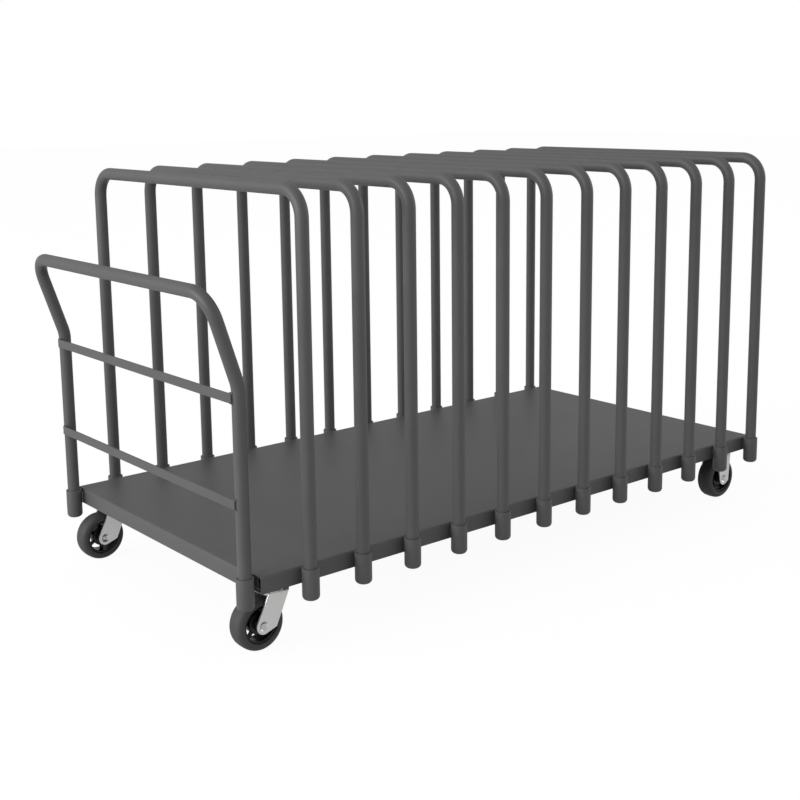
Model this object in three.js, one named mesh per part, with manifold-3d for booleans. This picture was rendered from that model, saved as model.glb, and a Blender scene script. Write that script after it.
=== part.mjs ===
// Sheet goods cart: a formed steel deck on two swivel and two rigid casters, a row of lift-out hoop
// dividers standing in sleeves along both long sides, and a bent push handle at one end.
// Millimetres. X runs along the deck with the handle at the -X end, Y across it, Z up from the floor.
import * as THREE from 'three';
import { mergeVertices } from 'three/addons/utils/BufferGeometryUtils.js';
import Module from 'manifold-3d';

// Gaps left between pieces that touch or move on each other.
const SEAT_GAP = 0.3;
const TUBE_CLEARANCE = 0.8;
const AXLE_CLEARANCE = 0.4;
const KINGPIN_CLEARANCE = 0.6;
const WHEEL_SIDE_CLEARANCE = 3.5;

// Deck: a sheet folded down on all four sides.
const DECK_LENGTH = 1828.8;
const DECK_WIDTH = 914.4;
const DECK_SHEET = 2.7;
const DECK_FLANGE_DEPTH = 40;
const DECK_BEND_RADIUS = 4;
const DECK_BEND_STEPS = 3;
const CORNER_NOTCH = 9;
const HANDLE_END_NOTCH = 33;

// Cross channels under the deck that carry the casters.
const CHANNEL_WIDTH = 118;
const CHANNEL_SHEET = 4;
const CHANNEL_END_CLEARANCE = 12;

// Bent steel tube used for the dividers and the handle.
const TUBE_DIAMETER = 31.75;
const TUBE_WALL = 2.1;
const TUBE_SIDES = 12;
const TUBE_BORE_SIDES = 6;
const BEND_LINE_RADIUS = 63.5;
const BEND_STEPS = 4;

// Sleeves that hold the tubes.
const SLEEVE_DIAMETER = 41.3;
const SLEEVE_LENGTH = 76.2;
const SLEEVE_FLOOR = 5;
const SLEEVE_EDGE_ROUND = 10.5;
const SLEEVE_EDGE_STEPS = 2;

// Divider row.
const DIVIDER_COUNT = 12;
const FIRST_DIVIDER_INSET = 127;
const LAST_DIVIDER_INSET = 25.4;
const DIVIDER_HEIGHT = 876;

// Push handle: heights of the tube's centreline and of the bars are measured from the deck's top.
const HANDLE_POST_INSET = 24.2;
const HANDLE_SLEEVE_STANDOFF = 1.9;
const HANDLE_WELD_WIDTH = 5.5;
const HANDLE_GRIP_HEIGHT = 649;
const HANDLE_REACH = 69;
const HANDLE_KINK_RADIUS = 90;
const HANDLE_KINK_STEPS = 2;
const UPPER_BAR_HEIGHT = 414;
const LOWER_BAR_HEIGHT = 173;
const BAR_DEPTH = 22;
const BAR_SHEET = 5;

// Casters.
const CASTER_HEIGHT = 155.6;
const CASTER_SIDE_INSET = 64;
const SWIVEL_END_INSET = 68;
const RIGID_END_INSET = 84;
const SWIVEL_TRAIL = 38;
const PLATE_LENGTH = 114;
const PLATE_WIDTH = 102;
const PLATE_SHEET = 5;
const PLATE_CORNER = 8;
const YOKE_SHEET = 4;
const YOKE_TOP_WIDTH = 56;
const YOKE_FOOT_RADIUS = 19;
const YOKE_FOOT_STEPS = 7;
const YOKE_HEEL_REACH = 35;
const YOKE_HEEL_DROP = 8;
const RIGID_TOP_WIDTH = 62;
const RIGID_HEEL_REACH = 22.5;
const CROWN_DEPTH = 14;
const CROWN_RADIUS = 36;
const RACEWAY_RADIUS = 33;
const KINGPIN_RADIUS = 6;
const KINGPIN_NUT_RADIUS = 11;
const KINGPIN_NUT_DEPTH = 8;
const AXLE_RADIUS = 6;
const AXLE_HEAD_RADIUS = 7.4;
const AXLE_HEAD_DEPTH = 1.6;
const AXLE_DISH_RADIUS = 11.2;
const AXLE_DISH_FLOOR_RADIUS = 8.2;
const AXLE_DISH_SHEET = 1.8;
const ROUND_SIDES = 12;

// Wheels.
const WHEEL_RADIUS = 63.5;
const WHEEL_WIDTH = 50.8;
const WHEEL_SIDES = 20;
const TYRE_DEPTH = 18.5;
const TYRE_SHOULDER = 14;
const TYRE_SHOULDER_STEPS = 2;
const HUB_RIM_DEPTH = 6;
const HUB_BOSS_RADIUS = 16;
const HUB_RIM_WIDTH = 40;
const HUB_SPOKES = 6;
const HUB_SPOKE_WIDTH = 9;
const HUB_WINDOW_STEPS = 2;

// Sizes that follow from the ones above.
const tubeRadius = TUBE_DIAMETER / 2;
const tubeFlat = tubeRadius * Math.cos(Math.PI / TUBE_SIDES);
const sleeveRadius = SLEEVE_DIAMETER / 2;
const sleeveFlat = sleeveRadius * Math.cos(Math.PI / TUBE_SIDES);
const deckTop = CASTER_HEIGHT + SEAT_GAP + DECK_FLANGE_DEPTH;
const deckUnder = deckTop - DECK_SHEET;
const handleEnd = -DECK_LENGTH / 2;
const farEnd = DECK_LENGTH / 2;
const sleeveBottom = deckTop - SLEEVE_LENGTH;
const sleeveBore = tubeRadius + TUBE_CLEARANCE;
const tubeFoot = sleeveBottom + SLEEVE_FLOOR + SEAT_GAP;
const dividerPitch = (DECK_LENGTH - FIRST_DIVIDER_INSET - LAST_DIVIDER_INSET) / (DIVIDER_COUNT - 1);
const dividerLegY = DECK_WIDTH / 2 + sleeveFlat + SEAT_GAP;
const dividerTopZ = deckTop + DIVIDER_HEIGHT - tubeRadius;
const handlePostX = handleEnd - sleeveFlat - HANDLE_SLEEVE_STANDOFF;
const handlePostY = DECK_WIDTH / 2 - HANDLE_POST_INSET;
const handleGripZ = deckTop + HANDLE_GRIP_HEIGHT;
const kinkStartZ = deckTop + UPPER_BAR_HEIGHT + BAR_DEPTH / 2;
const casterY = DECK_WIDTH / 2 - CASTER_SIDE_INSET;
const swivelX = handleEnd + SWIVEL_END_INSET;
const rigidX = farEnd - RIGID_END_INSET;
const plateUnder = CASTER_HEIGHT - PLATE_SHEET;
const crownTop = CASTER_HEIGHT - CROWN_DEPTH;
const crownUnder = crownTop - YOKE_SHEET;
const legInnerY = WHEEL_WIDTH / 2 + WHEEL_SIDE_CLEARANCE;
const legOuterY = legInnerY + YOKE_SHEET;
const dishFloorY = legInnerY + AXLE_DISH_SHEET;
const hubRadius = WHEEL_RADIUS - TYRE_DEPTH;
const wheelFacetScale = 1 / Math.cos(Math.PI / WHEEL_SIDES);

const wasm = await Module();
wasm.setup();

// A three.js geometry as a closed solid for joining and cutting.
function toSolid(geometry) {
  const bare = geometry.clone();
  bare.deleteAttribute('normal');
  bare.deleteAttribute('uv');
  const merged = mergeVertices(bare, 1e-4);
  return new wasm.Manifold(new wasm.Mesh({
    numProp: 3,
    vertProperties: merged.attributes.position.array,
    triVerts: new Uint32Array(merged.index.array),
  }));
}

// A closed solid back as a flat-shaded three.js geometry.
function toGeometry(solid) {
  const mesh = solid.getMesh();
  const geometry = new THREE.BufferGeometry();
  geometry.setAttribute('position', new THREE.BufferAttribute(mesh.vertProperties, mesh.numProp));
  geometry.setIndex(new THREE.BufferAttribute(mesh.triVerts, 1));
  const flat = geometry.toNonIndexed();
  flat.computeVertexNormals();
  return flat;
}

function powderCoat() {
  return new THREE.MeshStandardMaterial({ color: 0x5c5c5d, roughness: 0.5, metalness: 0.2 });
}

function zincPlate() {
  return new THREE.MeshStandardMaterial({ color: 0xb5b6b6, roughness: 0.38, metalness: 0.8 });
}

function rubber() {
  return new THREE.MeshStandardMaterial({ color: 0x424243, roughness: 0.75, metalness: 0 });
}

function glossHub() {
  return new THREE.MeshStandardMaterial({ color: 0x1b1b1c, roughness: 0.2, metalness: 0 });
}

function piece(name, geometry, material) {
  const mesh = new THREE.Mesh(geometry, material);
  mesh.name = name;
  return mesh;
}

function box(lengthX, lengthY, lengthZ, x, y, z) {
  return new THREE.BoxGeometry(lengthX, lengthY, lengthZ).translate(x, y, z);
}

// A box that spans two given heights.
function slab(lengthX, lengthY, lowZ, highZ, x, y) {
  return box(lengthX, lengthY, highZ - lowZ, x, y, (lowZ + highZ) / 2);
}

// A turned shape about the vertical axis, with one flat facing each row axis.
function turnedUpright(profile, sides) {
  const geometry = new THREE.LatheGeometry(profile, sides, Math.PI / sides, Math.PI * 2);
  return geometry.rotateX(Math.PI / 2);
}

// A turned shape about the Y axis, with one flat facing down.
function turnedCrosswise(profile, sides) {
  return new THREE.LatheGeometry(profile, sides, Math.PI / sides, Math.PI * 2);
}

function regularPolygon(radius, sides) {
  const corners = [];
  for (let i = 0; i < sides; i += 1) {
    const angle = (2 * Math.PI * (i + 0.5)) / sides;
    corners.push(new THREE.Vector2(radius * Math.cos(angle), radius * Math.sin(angle)));
  }
  return corners;
}

// A tube's centreline given by its stations, so that rings stand only at bends and ends.
class TubeLine extends THREE.Curve {
  constructor() {
    super();
    this.points = [];
    this.tangents = [];
  }

  get steps() {
    return this.points.length - 1;
  }

  addStation(point, tangent) {
    this.points.push(point.clone());
    this.tangents.push(tangent.clone().normalize());
  }

  // An arc from the present direction to a new one, met at a corner point.
  addBend(corner, from, to, radius, steps) {
    const turn = from.angleTo(to);
    const reach = radius * Math.tan(turn / 2);
    const inward = to.clone().addScaledVector(from, -from.dot(to)).normalize();
    const start = corner.clone().addScaledVector(from, -reach);
    const centre = start.clone().addScaledVector(inward, radius);
    for (let i = 0; i <= steps; i += 1) {
      const angle = (turn * i) / steps;
      const point = centre.clone()
        .addScaledVector(from, radius * Math.sin(angle))
        .addScaledVector(inward, -radius * Math.cos(angle));
      const tangent = from.clone().multiplyScalar(Math.cos(angle)).addScaledVector(inward, Math.sin(angle));
      this.addStation(point, tangent);
    }
  }

  getPointAt(share) {
    return this.points[Math.round(share * this.steps)].clone();
  }

  getTangentAt(share) {
    return this.tangents[Math.round(share * this.steps)].clone();
  }
}

// A round tube with an open bore along a centreline.
function tubeAlong(line) {
  const section = new THREE.Shape(regularPolygon(tubeRadius, TUBE_SIDES));
  section.holes.push(new THREE.Path(regularPolygon(tubeRadius - TUBE_WALL, TUBE_BORE_SIDES).reverse()));
  return new THREE.ExtrudeGeometry(section, { steps: line.steps, extrudePath: line, bevelEnabled: false });
}

// A block with its two long upper edges rounded, extruded along +Z of its own frame.
function roundedTopBlock(width, height, radius, length) {
  const half = width / 2;
  const shape = new THREE.Shape();
  shape.moveTo(-half, 0);
  shape.lineTo(half, 0);
  shape.lineTo(half, height - radius);
  shape.absarc(half - radius, height - radius, radius, 0, Math.PI / 2, false);
  shape.lineTo(radius - half, height);
  shape.absarc(radius - half, height - radius, radius, Math.PI / 2, Math.PI, false);
  const options = { depth: length, bevelEnabled: false, curveSegments: DECK_BEND_STEPS };
  return new THREE.ExtrudeGeometry(shape, options).translate(0, 0, -length / 2);
}

// A block standing on a given height with all four upper edges rounded.
function roundedTray(length, width, bottomZ, topZ, radius) {
  const height = topZ - bottomZ;
  const alongX = roundedTopBlock(width, height, radius, length).rotateX(Math.PI / 2).rotateZ(Math.PI / 2);
  const alongY = roundedTopBlock(length, height, radius, width).rotateX(Math.PI / 2);
  const both = toSolid(alongX).intersect(toSolid(alongY));
  return both.translate(0, 0, bottomZ);
}

// A channel across the deck, open upwards and fused to the sheet above it.
function crossChannel(x) {
  const length = DECK_WIDTH - 2 * (DECK_SHEET + CHANNEL_END_CLEARANCE);
  const bottom = CASTER_HEIGHT + SEAT_GAP;
  const top = deckUnder + DECK_SHEET / 2;
  const outside = toSolid(slab(CHANNEL_WIDTH, length, bottom, top, x, 0));
  const innerWidth = CHANNEL_WIDTH - 2 * CHANNEL_SHEET;
  const inside = toSolid(slab(innerWidth, DECK_WIDTH, bottom + CHANNEL_SHEET, deckTop, x, 0));
  return outside.subtract(inside);
}

// The deck tray with its open corner seams and the two cross channels welded under it.
function deckGeometry() {
  const bottom = deckTop - DECK_FLANGE_DEPTH;
  const outer = roundedTray(DECK_LENGTH, DECK_WIDTH, bottom, deckTop, DECK_BEND_RADIUS);
  const innerLength = DECK_LENGTH - 2 * DECK_SHEET;
  const innerWidth = DECK_WIDTH - 2 * DECK_SHEET;
  const innerRadius = Math.max(DECK_BEND_RADIUS - DECK_SHEET, DECK_SHEET / 4);
  const inner = roundedTray(innerLength, innerWidth, bottom - DECK_SHEET, deckUnder, innerRadius);
  let deck = outer.subtract(inner);
  const notchTop = deckTop - DECK_SHEET - DECK_BEND_RADIUS;
  const notchX = DECK_LENGTH / 2 - (CORNER_NOTCH - DECK_SHEET) / 2;
  for (const [end, reach] of [[-1, HANDLE_END_NOTCH], [1, CORNER_NOTCH]]) {
    const lengthX = CORNER_NOTCH + DECK_SHEET;
    const lengthY = reach + DECK_SHEET;
    const notchY = DECK_WIDTH / 2 - (reach - DECK_SHEET) / 2;
    for (const side of [-1, 1]) {
      const notch = slab(lengthX, lengthY, bottom - DECK_SHEET, notchTop, end * notchX, side * notchY);
      deck = deck.subtract(toSolid(notch));
    }
  }
  return toGeometry(deck.add(crossChannel(swivelX)).add(crossChannel(rigidX)));
}

// A blind socket with a rounded foot, its mouth level with the deck's top.
function sleeveGeometry(x, y) {
  const profile = [new THREE.Vector2(0, sleeveBottom)];
  for (let i = 0; i <= SLEEVE_EDGE_STEPS; i += 1) {
    const angle = (Math.PI / 2) * (i / SLEEVE_EDGE_STEPS - 1);
    const r = sleeveRadius - SLEEVE_EDGE_ROUND + SLEEVE_EDGE_ROUND * Math.cos(angle);
    const z = sleeveBottom + SLEEVE_EDGE_ROUND + SLEEVE_EDGE_ROUND * Math.sin(angle);
    profile.push(new THREE.Vector2(r, z));
  }
  profile.push(new THREE.Vector2(sleeveRadius, deckTop));
  profile.push(new THREE.Vector2(sleeveBore, deckTop));
  profile.push(new THREE.Vector2(sleeveBore, sleeveBottom + SLEEVE_FLOOR));
  profile.push(new THREE.Vector2(0, sleeveBottom + SLEEVE_FLOOR));
  return turnedUpright(profile, TUBE_SIDES).translate(x, y, 0);
}

// A handle socket with the weld seam that ties it to the end of the handle-side flange.
function handleSleeveGeometry(side) {
  const y = side * handlePostY;
  const startX = handlePostX + sleeveRadius * Math.SQRT1_2;
  const endX = handleEnd - SEAT_GAP;
  const seamY = DECK_WIDTH / 2 - HANDLE_END_NOTCH - HANDLE_WELD_WIDTH / 2;
  const bottom = deckTop - DECK_FLANGE_DEPTH;
  const top = deckTop - DECK_BEND_RADIUS;
  const seam = slab(endX - startX, HANDLE_WELD_WIDTH, bottom, top, (startX + endX) / 2, side * seamY);
  const borePlug = turnedUpright([
    new THREE.Vector2(0, sleeveBottom + SLEEVE_FLOOR),
    new THREE.Vector2(sleeveBore, sleeveBottom + SLEEVE_FLOOR),
    new THREE.Vector2(sleeveBore, deckTop + SLEEVE_FLOOR),
    new THREE.Vector2(0, deckTop + SLEEVE_FLOOR),
  ], TUBE_SIDES).translate(handlePostX, y, 0);
  const bead = toSolid(seam).subtract(toSolid(borePlug));
  return toGeometry(toSolid(sleeveGeometry(handlePostX, y)).add(bead));
}

// An inverted U of tube across the deck, its feet inside a pair of sleeves.
function dividerGeometry(x) {
  const up = new THREE.Vector3(0, 0, 1);
  const across = new THREE.Vector3(0, 1, 0);
  const down = new THREE.Vector3(0, 0, -1);
  const line = new TubeLine();
  line.addStation(new THREE.Vector3(x, -dividerLegY, tubeFoot), up);
  line.addBend(new THREE.Vector3(x, -dividerLegY, dividerTopZ), up, across, BEND_LINE_RADIUS, BEND_STEPS);
  line.addBend(new THREE.Vector3(x, dividerLegY, dividerTopZ), across, down, BEND_LINE_RADIUS, BEND_STEPS);
  line.addStation(new THREE.Vector3(x, dividerLegY, tubeFoot), down);
  return tubeAlong(line);
}

// The handle's tube: upright posts, a kink that leans them outwards, and corner bends in the leaning plane.
function handleTubeGeometry() {
  const up = new THREE.Vector3(0, 0, 1);
  const across = new THREE.Vector3(0, 1, 0);
  const lean = leanDirection();
  const kinkZ = kinkStartZ + kinkReach(lean);
  const gripX = handlePostX - HANDLE_REACH;
  const line = new TubeLine();
  line.addStation(new THREE.Vector3(handlePostX, -handlePostY, tubeFoot), up);
  const nearKink = new THREE.Vector3(handlePostX, -handlePostY, kinkZ);
  line.addBend(nearKink, up, lean, HANDLE_KINK_RADIUS, HANDLE_KINK_STEPS);
  const nearCorner = new THREE.Vector3(gripX, -handlePostY, handleGripZ);
  line.addBend(nearCorner, lean, across, BEND_LINE_RADIUS, BEND_STEPS);
  const farCorner = new THREE.Vector3(gripX, handlePostY, handleGripZ);
  line.addBend(farCorner, across, lean.clone().negate(), BEND_LINE_RADIUS, BEND_STEPS);
  const farKink = new THREE.Vector3(handlePostX, handlePostY, kinkZ);
  line.addBend(farKink, lean.clone().negate(), up.clone().negate(), HANDLE_KINK_RADIUS, HANDLE_KINK_STEPS);
  line.addStation(new THREE.Vector3(handlePostX, handlePostY, tubeFoot), up.clone().negate());
  return tubeAlong(line);
}

// Length of straight tube that the kink's bend uses on each side of its corner.
function kinkReach(lean) {
  const turn = lean.angleTo(new THREE.Vector3(0, 0, 1));
  return HANDLE_KINK_RADIUS * Math.tan(turn / 2);
}

// Direction of the leaning part, found by closing in on the kink's own reach.
function leanDirection() {
  const lean = new THREE.Vector3(-HANDLE_REACH, 0, handleGripZ - kinkStartZ).normalize();
  for (let i = 0; i < 8; i += 1) {
    lean.set(-HANDLE_REACH, 0, handleGripZ - kinkStartZ - kinkReach(lean)).normalize();
  }
  return lean;
}

// A flat bar across the outer faces of the handle's posts.
function handleBarGeometry(height) {
  const x = handlePostX - tubeFlat - SEAT_GAP - BAR_SHEET / 2;
  return box(BAR_SHEET, 2 * handlePostY, BAR_DEPTH, x, 0, deckTop + height);
}

// A plate with cut corners, its top at the caster's full height.
function plateSolid() {
  const halfX = PLATE_LENGTH / 2;
  const halfY = PLATE_WIDTH / 2;
  const shape = new THREE.Shape();
  shape.moveTo(PLATE_CORNER - halfX, -halfY);
  shape.lineTo(halfX - PLATE_CORNER, -halfY);
  shape.lineTo(halfX, PLATE_CORNER - halfY);
  shape.lineTo(halfX, halfY - PLATE_CORNER);
  shape.lineTo(halfX - PLATE_CORNER, halfY);
  shape.lineTo(PLATE_CORNER - halfX, halfY);
  shape.lineTo(-halfX, halfY - PLATE_CORNER);
  shape.lineTo(-halfX, PLATE_CORNER - halfY);
  const geometry = new THREE.ExtrudeGeometry(shape, { depth: PLATE_SHEET, bevelEnabled: false });
  return toSolid(geometry.translate(0, 0, plateUnder));
}

// The swivel caster's fixed half: top plate, bearing race and the kingpin with its nut under the yoke.
function swivelPlateGeometry() {
  const raceBottom = crownTop + SEAT_GAP;
  const nutTop = crownUnder - SEAT_GAP;
  const nutBottom = nutTop - KINGPIN_NUT_DEPTH;
  const profile = [
    new THREE.Vector2(0, nutBottom),
    new THREE.Vector2(KINGPIN_NUT_RADIUS, nutBottom),
    new THREE.Vector2(KINGPIN_NUT_RADIUS, nutTop),
    new THREE.Vector2(KINGPIN_RADIUS, nutTop),
    new THREE.Vector2(KINGPIN_RADIUS, raceBottom),
    new THREE.Vector2(RACEWAY_RADIUS, raceBottom),
    new THREE.Vector2(RACEWAY_RADIUS, plateUnder + PLATE_SHEET / 2),
    new THREE.Vector2(0, plateUnder + PLATE_SHEET / 2),
  ];
  return toGeometry(plateSolid().add(toSolid(turnedUpright(profile, ROUND_SIDES))));
}

// One pressed leg of a yoke: a side profile round the axle, extruded through its sheet.
function legSolid(axleX, topLeft, topRight, topZ, heelX, side) {
  const heelZ = WHEEL_RADIUS - YOKE_HEEL_DROP;
  const shape = new THREE.Shape();
  shape.moveTo(topRight, topZ);
  shape.lineTo(topLeft, topZ);
  const toFoot = Math.atan2(topZ - WHEEL_RADIUS, topLeft - axleX);
  const footSpan = Math.hypot(topZ - WHEEL_RADIUS, topLeft - axleX);
  const leftAngle = toFoot + Math.acos(YOKE_FOOT_RADIUS / footSpan);
  const toHeel = Math.atan2(heelZ - WHEEL_RADIUS, heelX - axleX);
  const heelSpan = Math.hypot(heelZ - WHEEL_RADIUS, heelX - axleX);
  const rightAngle = 2 * Math.PI + toHeel - Math.acos(YOKE_FOOT_RADIUS / heelSpan);
  for (let i = 0; i <= YOKE_FOOT_STEPS; i += 1) {
    const angle = leftAngle + ((rightAngle - leftAngle) * i) / YOKE_FOOT_STEPS;
    const x = axleX + YOKE_FOOT_RADIUS * Math.cos(angle);
    shape.lineTo(x, WHEEL_RADIUS + YOKE_FOOT_RADIUS * Math.sin(angle));
  }
  shape.lineTo(heelX, heelZ);
  const hole = regularPolygon(AXLE_RADIUS + AXLE_CLEARANCE, ROUND_SIDES).reverse();
  hole.forEach((corner) => corner.add(new THREE.Vector2(axleX, WHEEL_RADIUS)));
  shape.holes.push(new THREE.Path(hole));
  const geometry = new THREE.ExtrudeGeometry(shape, { depth: YOKE_SHEET, bevelEnabled: false });
  geometry.rotateX(Math.PI / 2);
  const backFace = side > 0 ? legOuterY : -legInnerY;
  const leg = toSolid(geometry.translate(0, backFace, 0));
  return leg.subtract(toSolid(axleDish(side).translate(axleX, 0, WHEEL_RADIUS)));
}

// The shallow dish round the axle in a leg's outer face.
function axleDish(side) {
  const dish = turnedCrosswise([
    new THREE.Vector2(0, dishFloorY),
    new THREE.Vector2(AXLE_DISH_FLOOR_RADIUS, dishFloorY),
    new THREE.Vector2(AXLE_DISH_RADIUS, legOuterY),
    new THREE.Vector2(AXLE_DISH_RADIUS, legOuterY + SEAT_GAP),
    new THREE.Vector2(0, legOuterY + SEAT_GAP),
  ], ROUND_SIDES);
  return side > 0 ? dish : dish.rotateZ(Math.PI);
}

// The swivelling yoke: a round crown under the bearing race and two legs that trail to the axle.
function swivelYokeGeometry() {
  const profile = [
    new THREE.Vector2(KINGPIN_RADIUS + KINGPIN_CLEARANCE, crownUnder),
    new THREE.Vector2(CROWN_RADIUS, crownUnder),
    new THREE.Vector2(CROWN_RADIUS, crownTop),
    new THREE.Vector2(KINGPIN_RADIUS + KINGPIN_CLEARANCE, crownTop),
    new THREE.Vector2(KINGPIN_RADIUS + KINGPIN_CLEARANCE, crownUnder),
  ];
  const topRight = CROWN_RADIUS;
  const topLeft = topRight - YOKE_TOP_WIDTH;
  let yoke = toSolid(turnedUpright(profile, ROUND_SIDES));
  for (const side of [-1, 1]) {
    const bridgeWidth = legOuterY - KINGPIN_NUT_RADIUS - KINGPIN_CLEARANCE;
    const bridgeY = side * (legOuterY - bridgeWidth / 2);
    const bridgeX = (topLeft + topRight) / 2;
    yoke = yoke.add(toSolid(slab(YOKE_TOP_WIDTH, bridgeWidth, crownUnder, crownTop, bridgeX, bridgeY)));
    const heelX = YOKE_HEEL_REACH - SWIVEL_TRAIL;
    yoke = yoke.add(legSolid(-SWIVEL_TRAIL, topLeft, topRight, crownTop, heelX, side));
  }
  return toGeometry(yoke);
}

// The rigid caster's frame: a plate with both legs folded straight down from it.
function rigidFrameGeometry() {
  let frame = plateSolid();
  const half = RIGID_TOP_WIDTH / 2;
  for (const side of [-1, 1]) {
    const topZ = plateUnder + PLATE_SHEET / 2;
    frame = frame.add(legSolid(0, -half, half, topZ, RIGID_HEEL_REACH, side));
  }
  return toGeometry(frame);
}

// The axle, with a flat head at each end that lies in the dish of the leg.
function axleGeometry() {
  const headIn = dishFloorY + SEAT_GAP;
  const headOut = headIn + AXLE_HEAD_DEPTH;
  const profile = [
    new THREE.Vector2(0, -headOut),
    new THREE.Vector2(AXLE_HEAD_RADIUS, -headOut),
    new THREE.Vector2(AXLE_HEAD_RADIUS, -headIn),
    new THREE.Vector2(AXLE_RADIUS, -headIn),
    new THREE.Vector2(AXLE_RADIUS, headIn),
    new THREE.Vector2(AXLE_HEAD_RADIUS, headIn),
    new THREE.Vector2(AXLE_HEAD_RADIUS, headOut),
    new THREE.Vector2(0, headOut),
  ];
  return turnedCrosswise(profile, ROUND_SIDES).translate(0, 0, WHEEL_RADIUS);
}

// One see-through window between two spokes.
function hubWindow(index) {
  const inner = HUB_BOSS_RADIUS + HUB_SPOKE_WIDTH / 4;
  const outer = hubRadius - HUB_RIM_DEPTH;
  const pitch = (2 * Math.PI) / HUB_SPOKES;
  const middle = pitch * (index + 0.5);
  const corners = [];
  for (let i = 0; i <= HUB_WINDOW_STEPS; i += 1) {
    const half = pitch / 2 - Math.asin(HUB_SPOKE_WIDTH / 2 / outer);
    const angle = middle - half + (2 * half * i) / HUB_WINDOW_STEPS;
    corners.push(new THREE.Vector2(outer * Math.cos(angle), outer * Math.sin(angle)));
  }
  const innerHalf = pitch / 2 - Math.asin(HUB_SPOKE_WIDTH / 2 / inner);
  corners.push(new THREE.Vector2(inner * Math.cos(middle + innerHalf), inner * Math.sin(middle + innerHalf)));
  corners.push(new THREE.Vector2(inner * Math.cos(middle - innerHalf), inner * Math.sin(middle - innerHalf)));
  return new THREE.Path(corners.reverse());
}

// The wheel's core: a rim, open spokes and a boss that runs on the axle.
function hubGeometry() {
  const bore = AXLE_RADIUS + AXLE_CLEARANCE;
  const shape = new THREE.Shape(regularPolygon(hubRadius, WHEEL_SIDES));
  shape.holes.push(new THREE.Path(regularPolygon(bore, ROUND_SIDES).reverse()));
  for (let i = 0; i < HUB_SPOKES; i += 1) {
    shape.holes.push(hubWindow(i));
  }
  const core = new THREE.ExtrudeGeometry(shape, { depth: HUB_RIM_WIDTH, bevelEnabled: false });
  core.translate(0, 0, -HUB_RIM_WIDTH / 2).rotateX(Math.PI / 2);
  const half = legInnerY - SEAT_GAP;
  const boss = turnedCrosswise([
    new THREE.Vector2(bore, -half),
    new THREE.Vector2(HUB_BOSS_RADIUS, -half),
    new THREE.Vector2(HUB_BOSS_RADIUS, half),
    new THREE.Vector2(bore, half),
    new THREE.Vector2(bore, -half),
  ], ROUND_SIDES);
  return toGeometry(toSolid(core).add(toSolid(boss)).translate(0, 0, WHEEL_RADIUS));
}

// The tyre: a ring with rounded shoulders pressed over the core.
function tyreGeometry() {
  const inner = (hubRadius + SEAT_GAP) * wheelFacetScale;
  const outer = WHEEL_RADIUS * wheelFacetScale;
  const half = WHEEL_WIDTH / 2;
  const profile = [new THREE.Vector2(inner, -half)];
  for (let i = 0; i <= TYRE_SHOULDER_STEPS; i += 1) {
    const angle = (Math.PI / 2) * (i / TYRE_SHOULDER_STEPS - 1);
    const r = outer - TYRE_SHOULDER + TYRE_SHOULDER * Math.cos(angle);
    profile.push(new THREE.Vector2(r, TYRE_SHOULDER * (1 + Math.sin(angle)) - half));
  }
  for (let i = 0; i <= TYRE_SHOULDER_STEPS; i += 1) {
    const angle = (Math.PI / 2) * (i / TYRE_SHOULDER_STEPS);
    const r = outer - TYRE_SHOULDER + TYRE_SHOULDER * Math.cos(angle);
    profile.push(new THREE.Vector2(r, half - TYRE_SHOULDER * (1 - Math.sin(angle))));
  }
  profile.push(new THREE.Vector2(inner, half));
  profile.push(new THREE.Vector2(inner, -half));
  return turnedCrosswise(profile, WHEEL_SIDES).translate(0, 0, WHEEL_RADIUS);
}

// The axle, hub and tyre of one caster, placed at the axle's position along X.
function wheelSet(kind, side, axleX) {
  const set = new THREE.Group();
  set.add(piece(`${kind}_axle_${side}`, axleGeometry(), zincPlate()));
  set.add(piece(`${kind}_hub_${side}`, hubGeometry(), glossHub()));
  set.add(piece(`${kind}_tyre_${side}`, tyreGeometry(), rubber()));
  set.position.x = axleX;
  return set;
}

function swivelCaster(side, y) {
  const caster = new THREE.Group();
  caster.add(piece(`swivel_plate_${side}`, swivelPlateGeometry(), zincPlate()));
  caster.add(piece(`swivel_yoke_${side}`, swivelYokeGeometry(), zincPlate()));
  caster.add(wheelSet('swivel', side, -SWIVEL_TRAIL));
  caster.position.set(swivelX, y, 0);
  return caster;
}

function rigidCaster(side, y) {
  const caster = new THREE.Group();
  caster.add(piece(`rigid_frame_${side}`, rigidFrameGeometry(), zincPlate()));
  caster.add(wheelSet('rigid', side, 0));
  caster.position.set(rigidX, y, 0);
  return caster;
}

// The row of dividers with a sleeve under each foot.
function dividerRow() {
  const row = new THREE.Group();
  for (let i = 0; i < DIVIDER_COUNT; i += 1) {
    const number = String(i + 1).padStart(2, '0');
    const x = handleEnd + FIRST_DIVIDER_INSET + i * dividerPitch;
    row.add(piece(`divider_${number}`, dividerGeometry(x), powderCoat()));
    row.add(piece(`sleeve_right_${number}`, sleeveGeometry(x, -dividerLegY), powderCoat()));
    row.add(piece(`sleeve_left_${number}`, sleeveGeometry(x, dividerLegY), powderCoat()));
  }
  return row;
}

function pushHandle() {
  const handle = new THREE.Group();
  handle.add(piece('handle_tube', handleTubeGeometry(), powderCoat()));
  handle.add(piece('handle_bar_upper', handleBarGeometry(UPPER_BAR_HEIGHT), powderCoat()));
  handle.add(piece('handle_bar_lower', handleBarGeometry(LOWER_BAR_HEIGHT), powderCoat()));
  handle.add(piece('handle_sleeve_right', handleSleeveGeometry(-1), powderCoat()));
  handle.add(piece('handle_sleeve_left', handleSleeveGeometry(1), powderCoat()));
  return handle;
}

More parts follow.
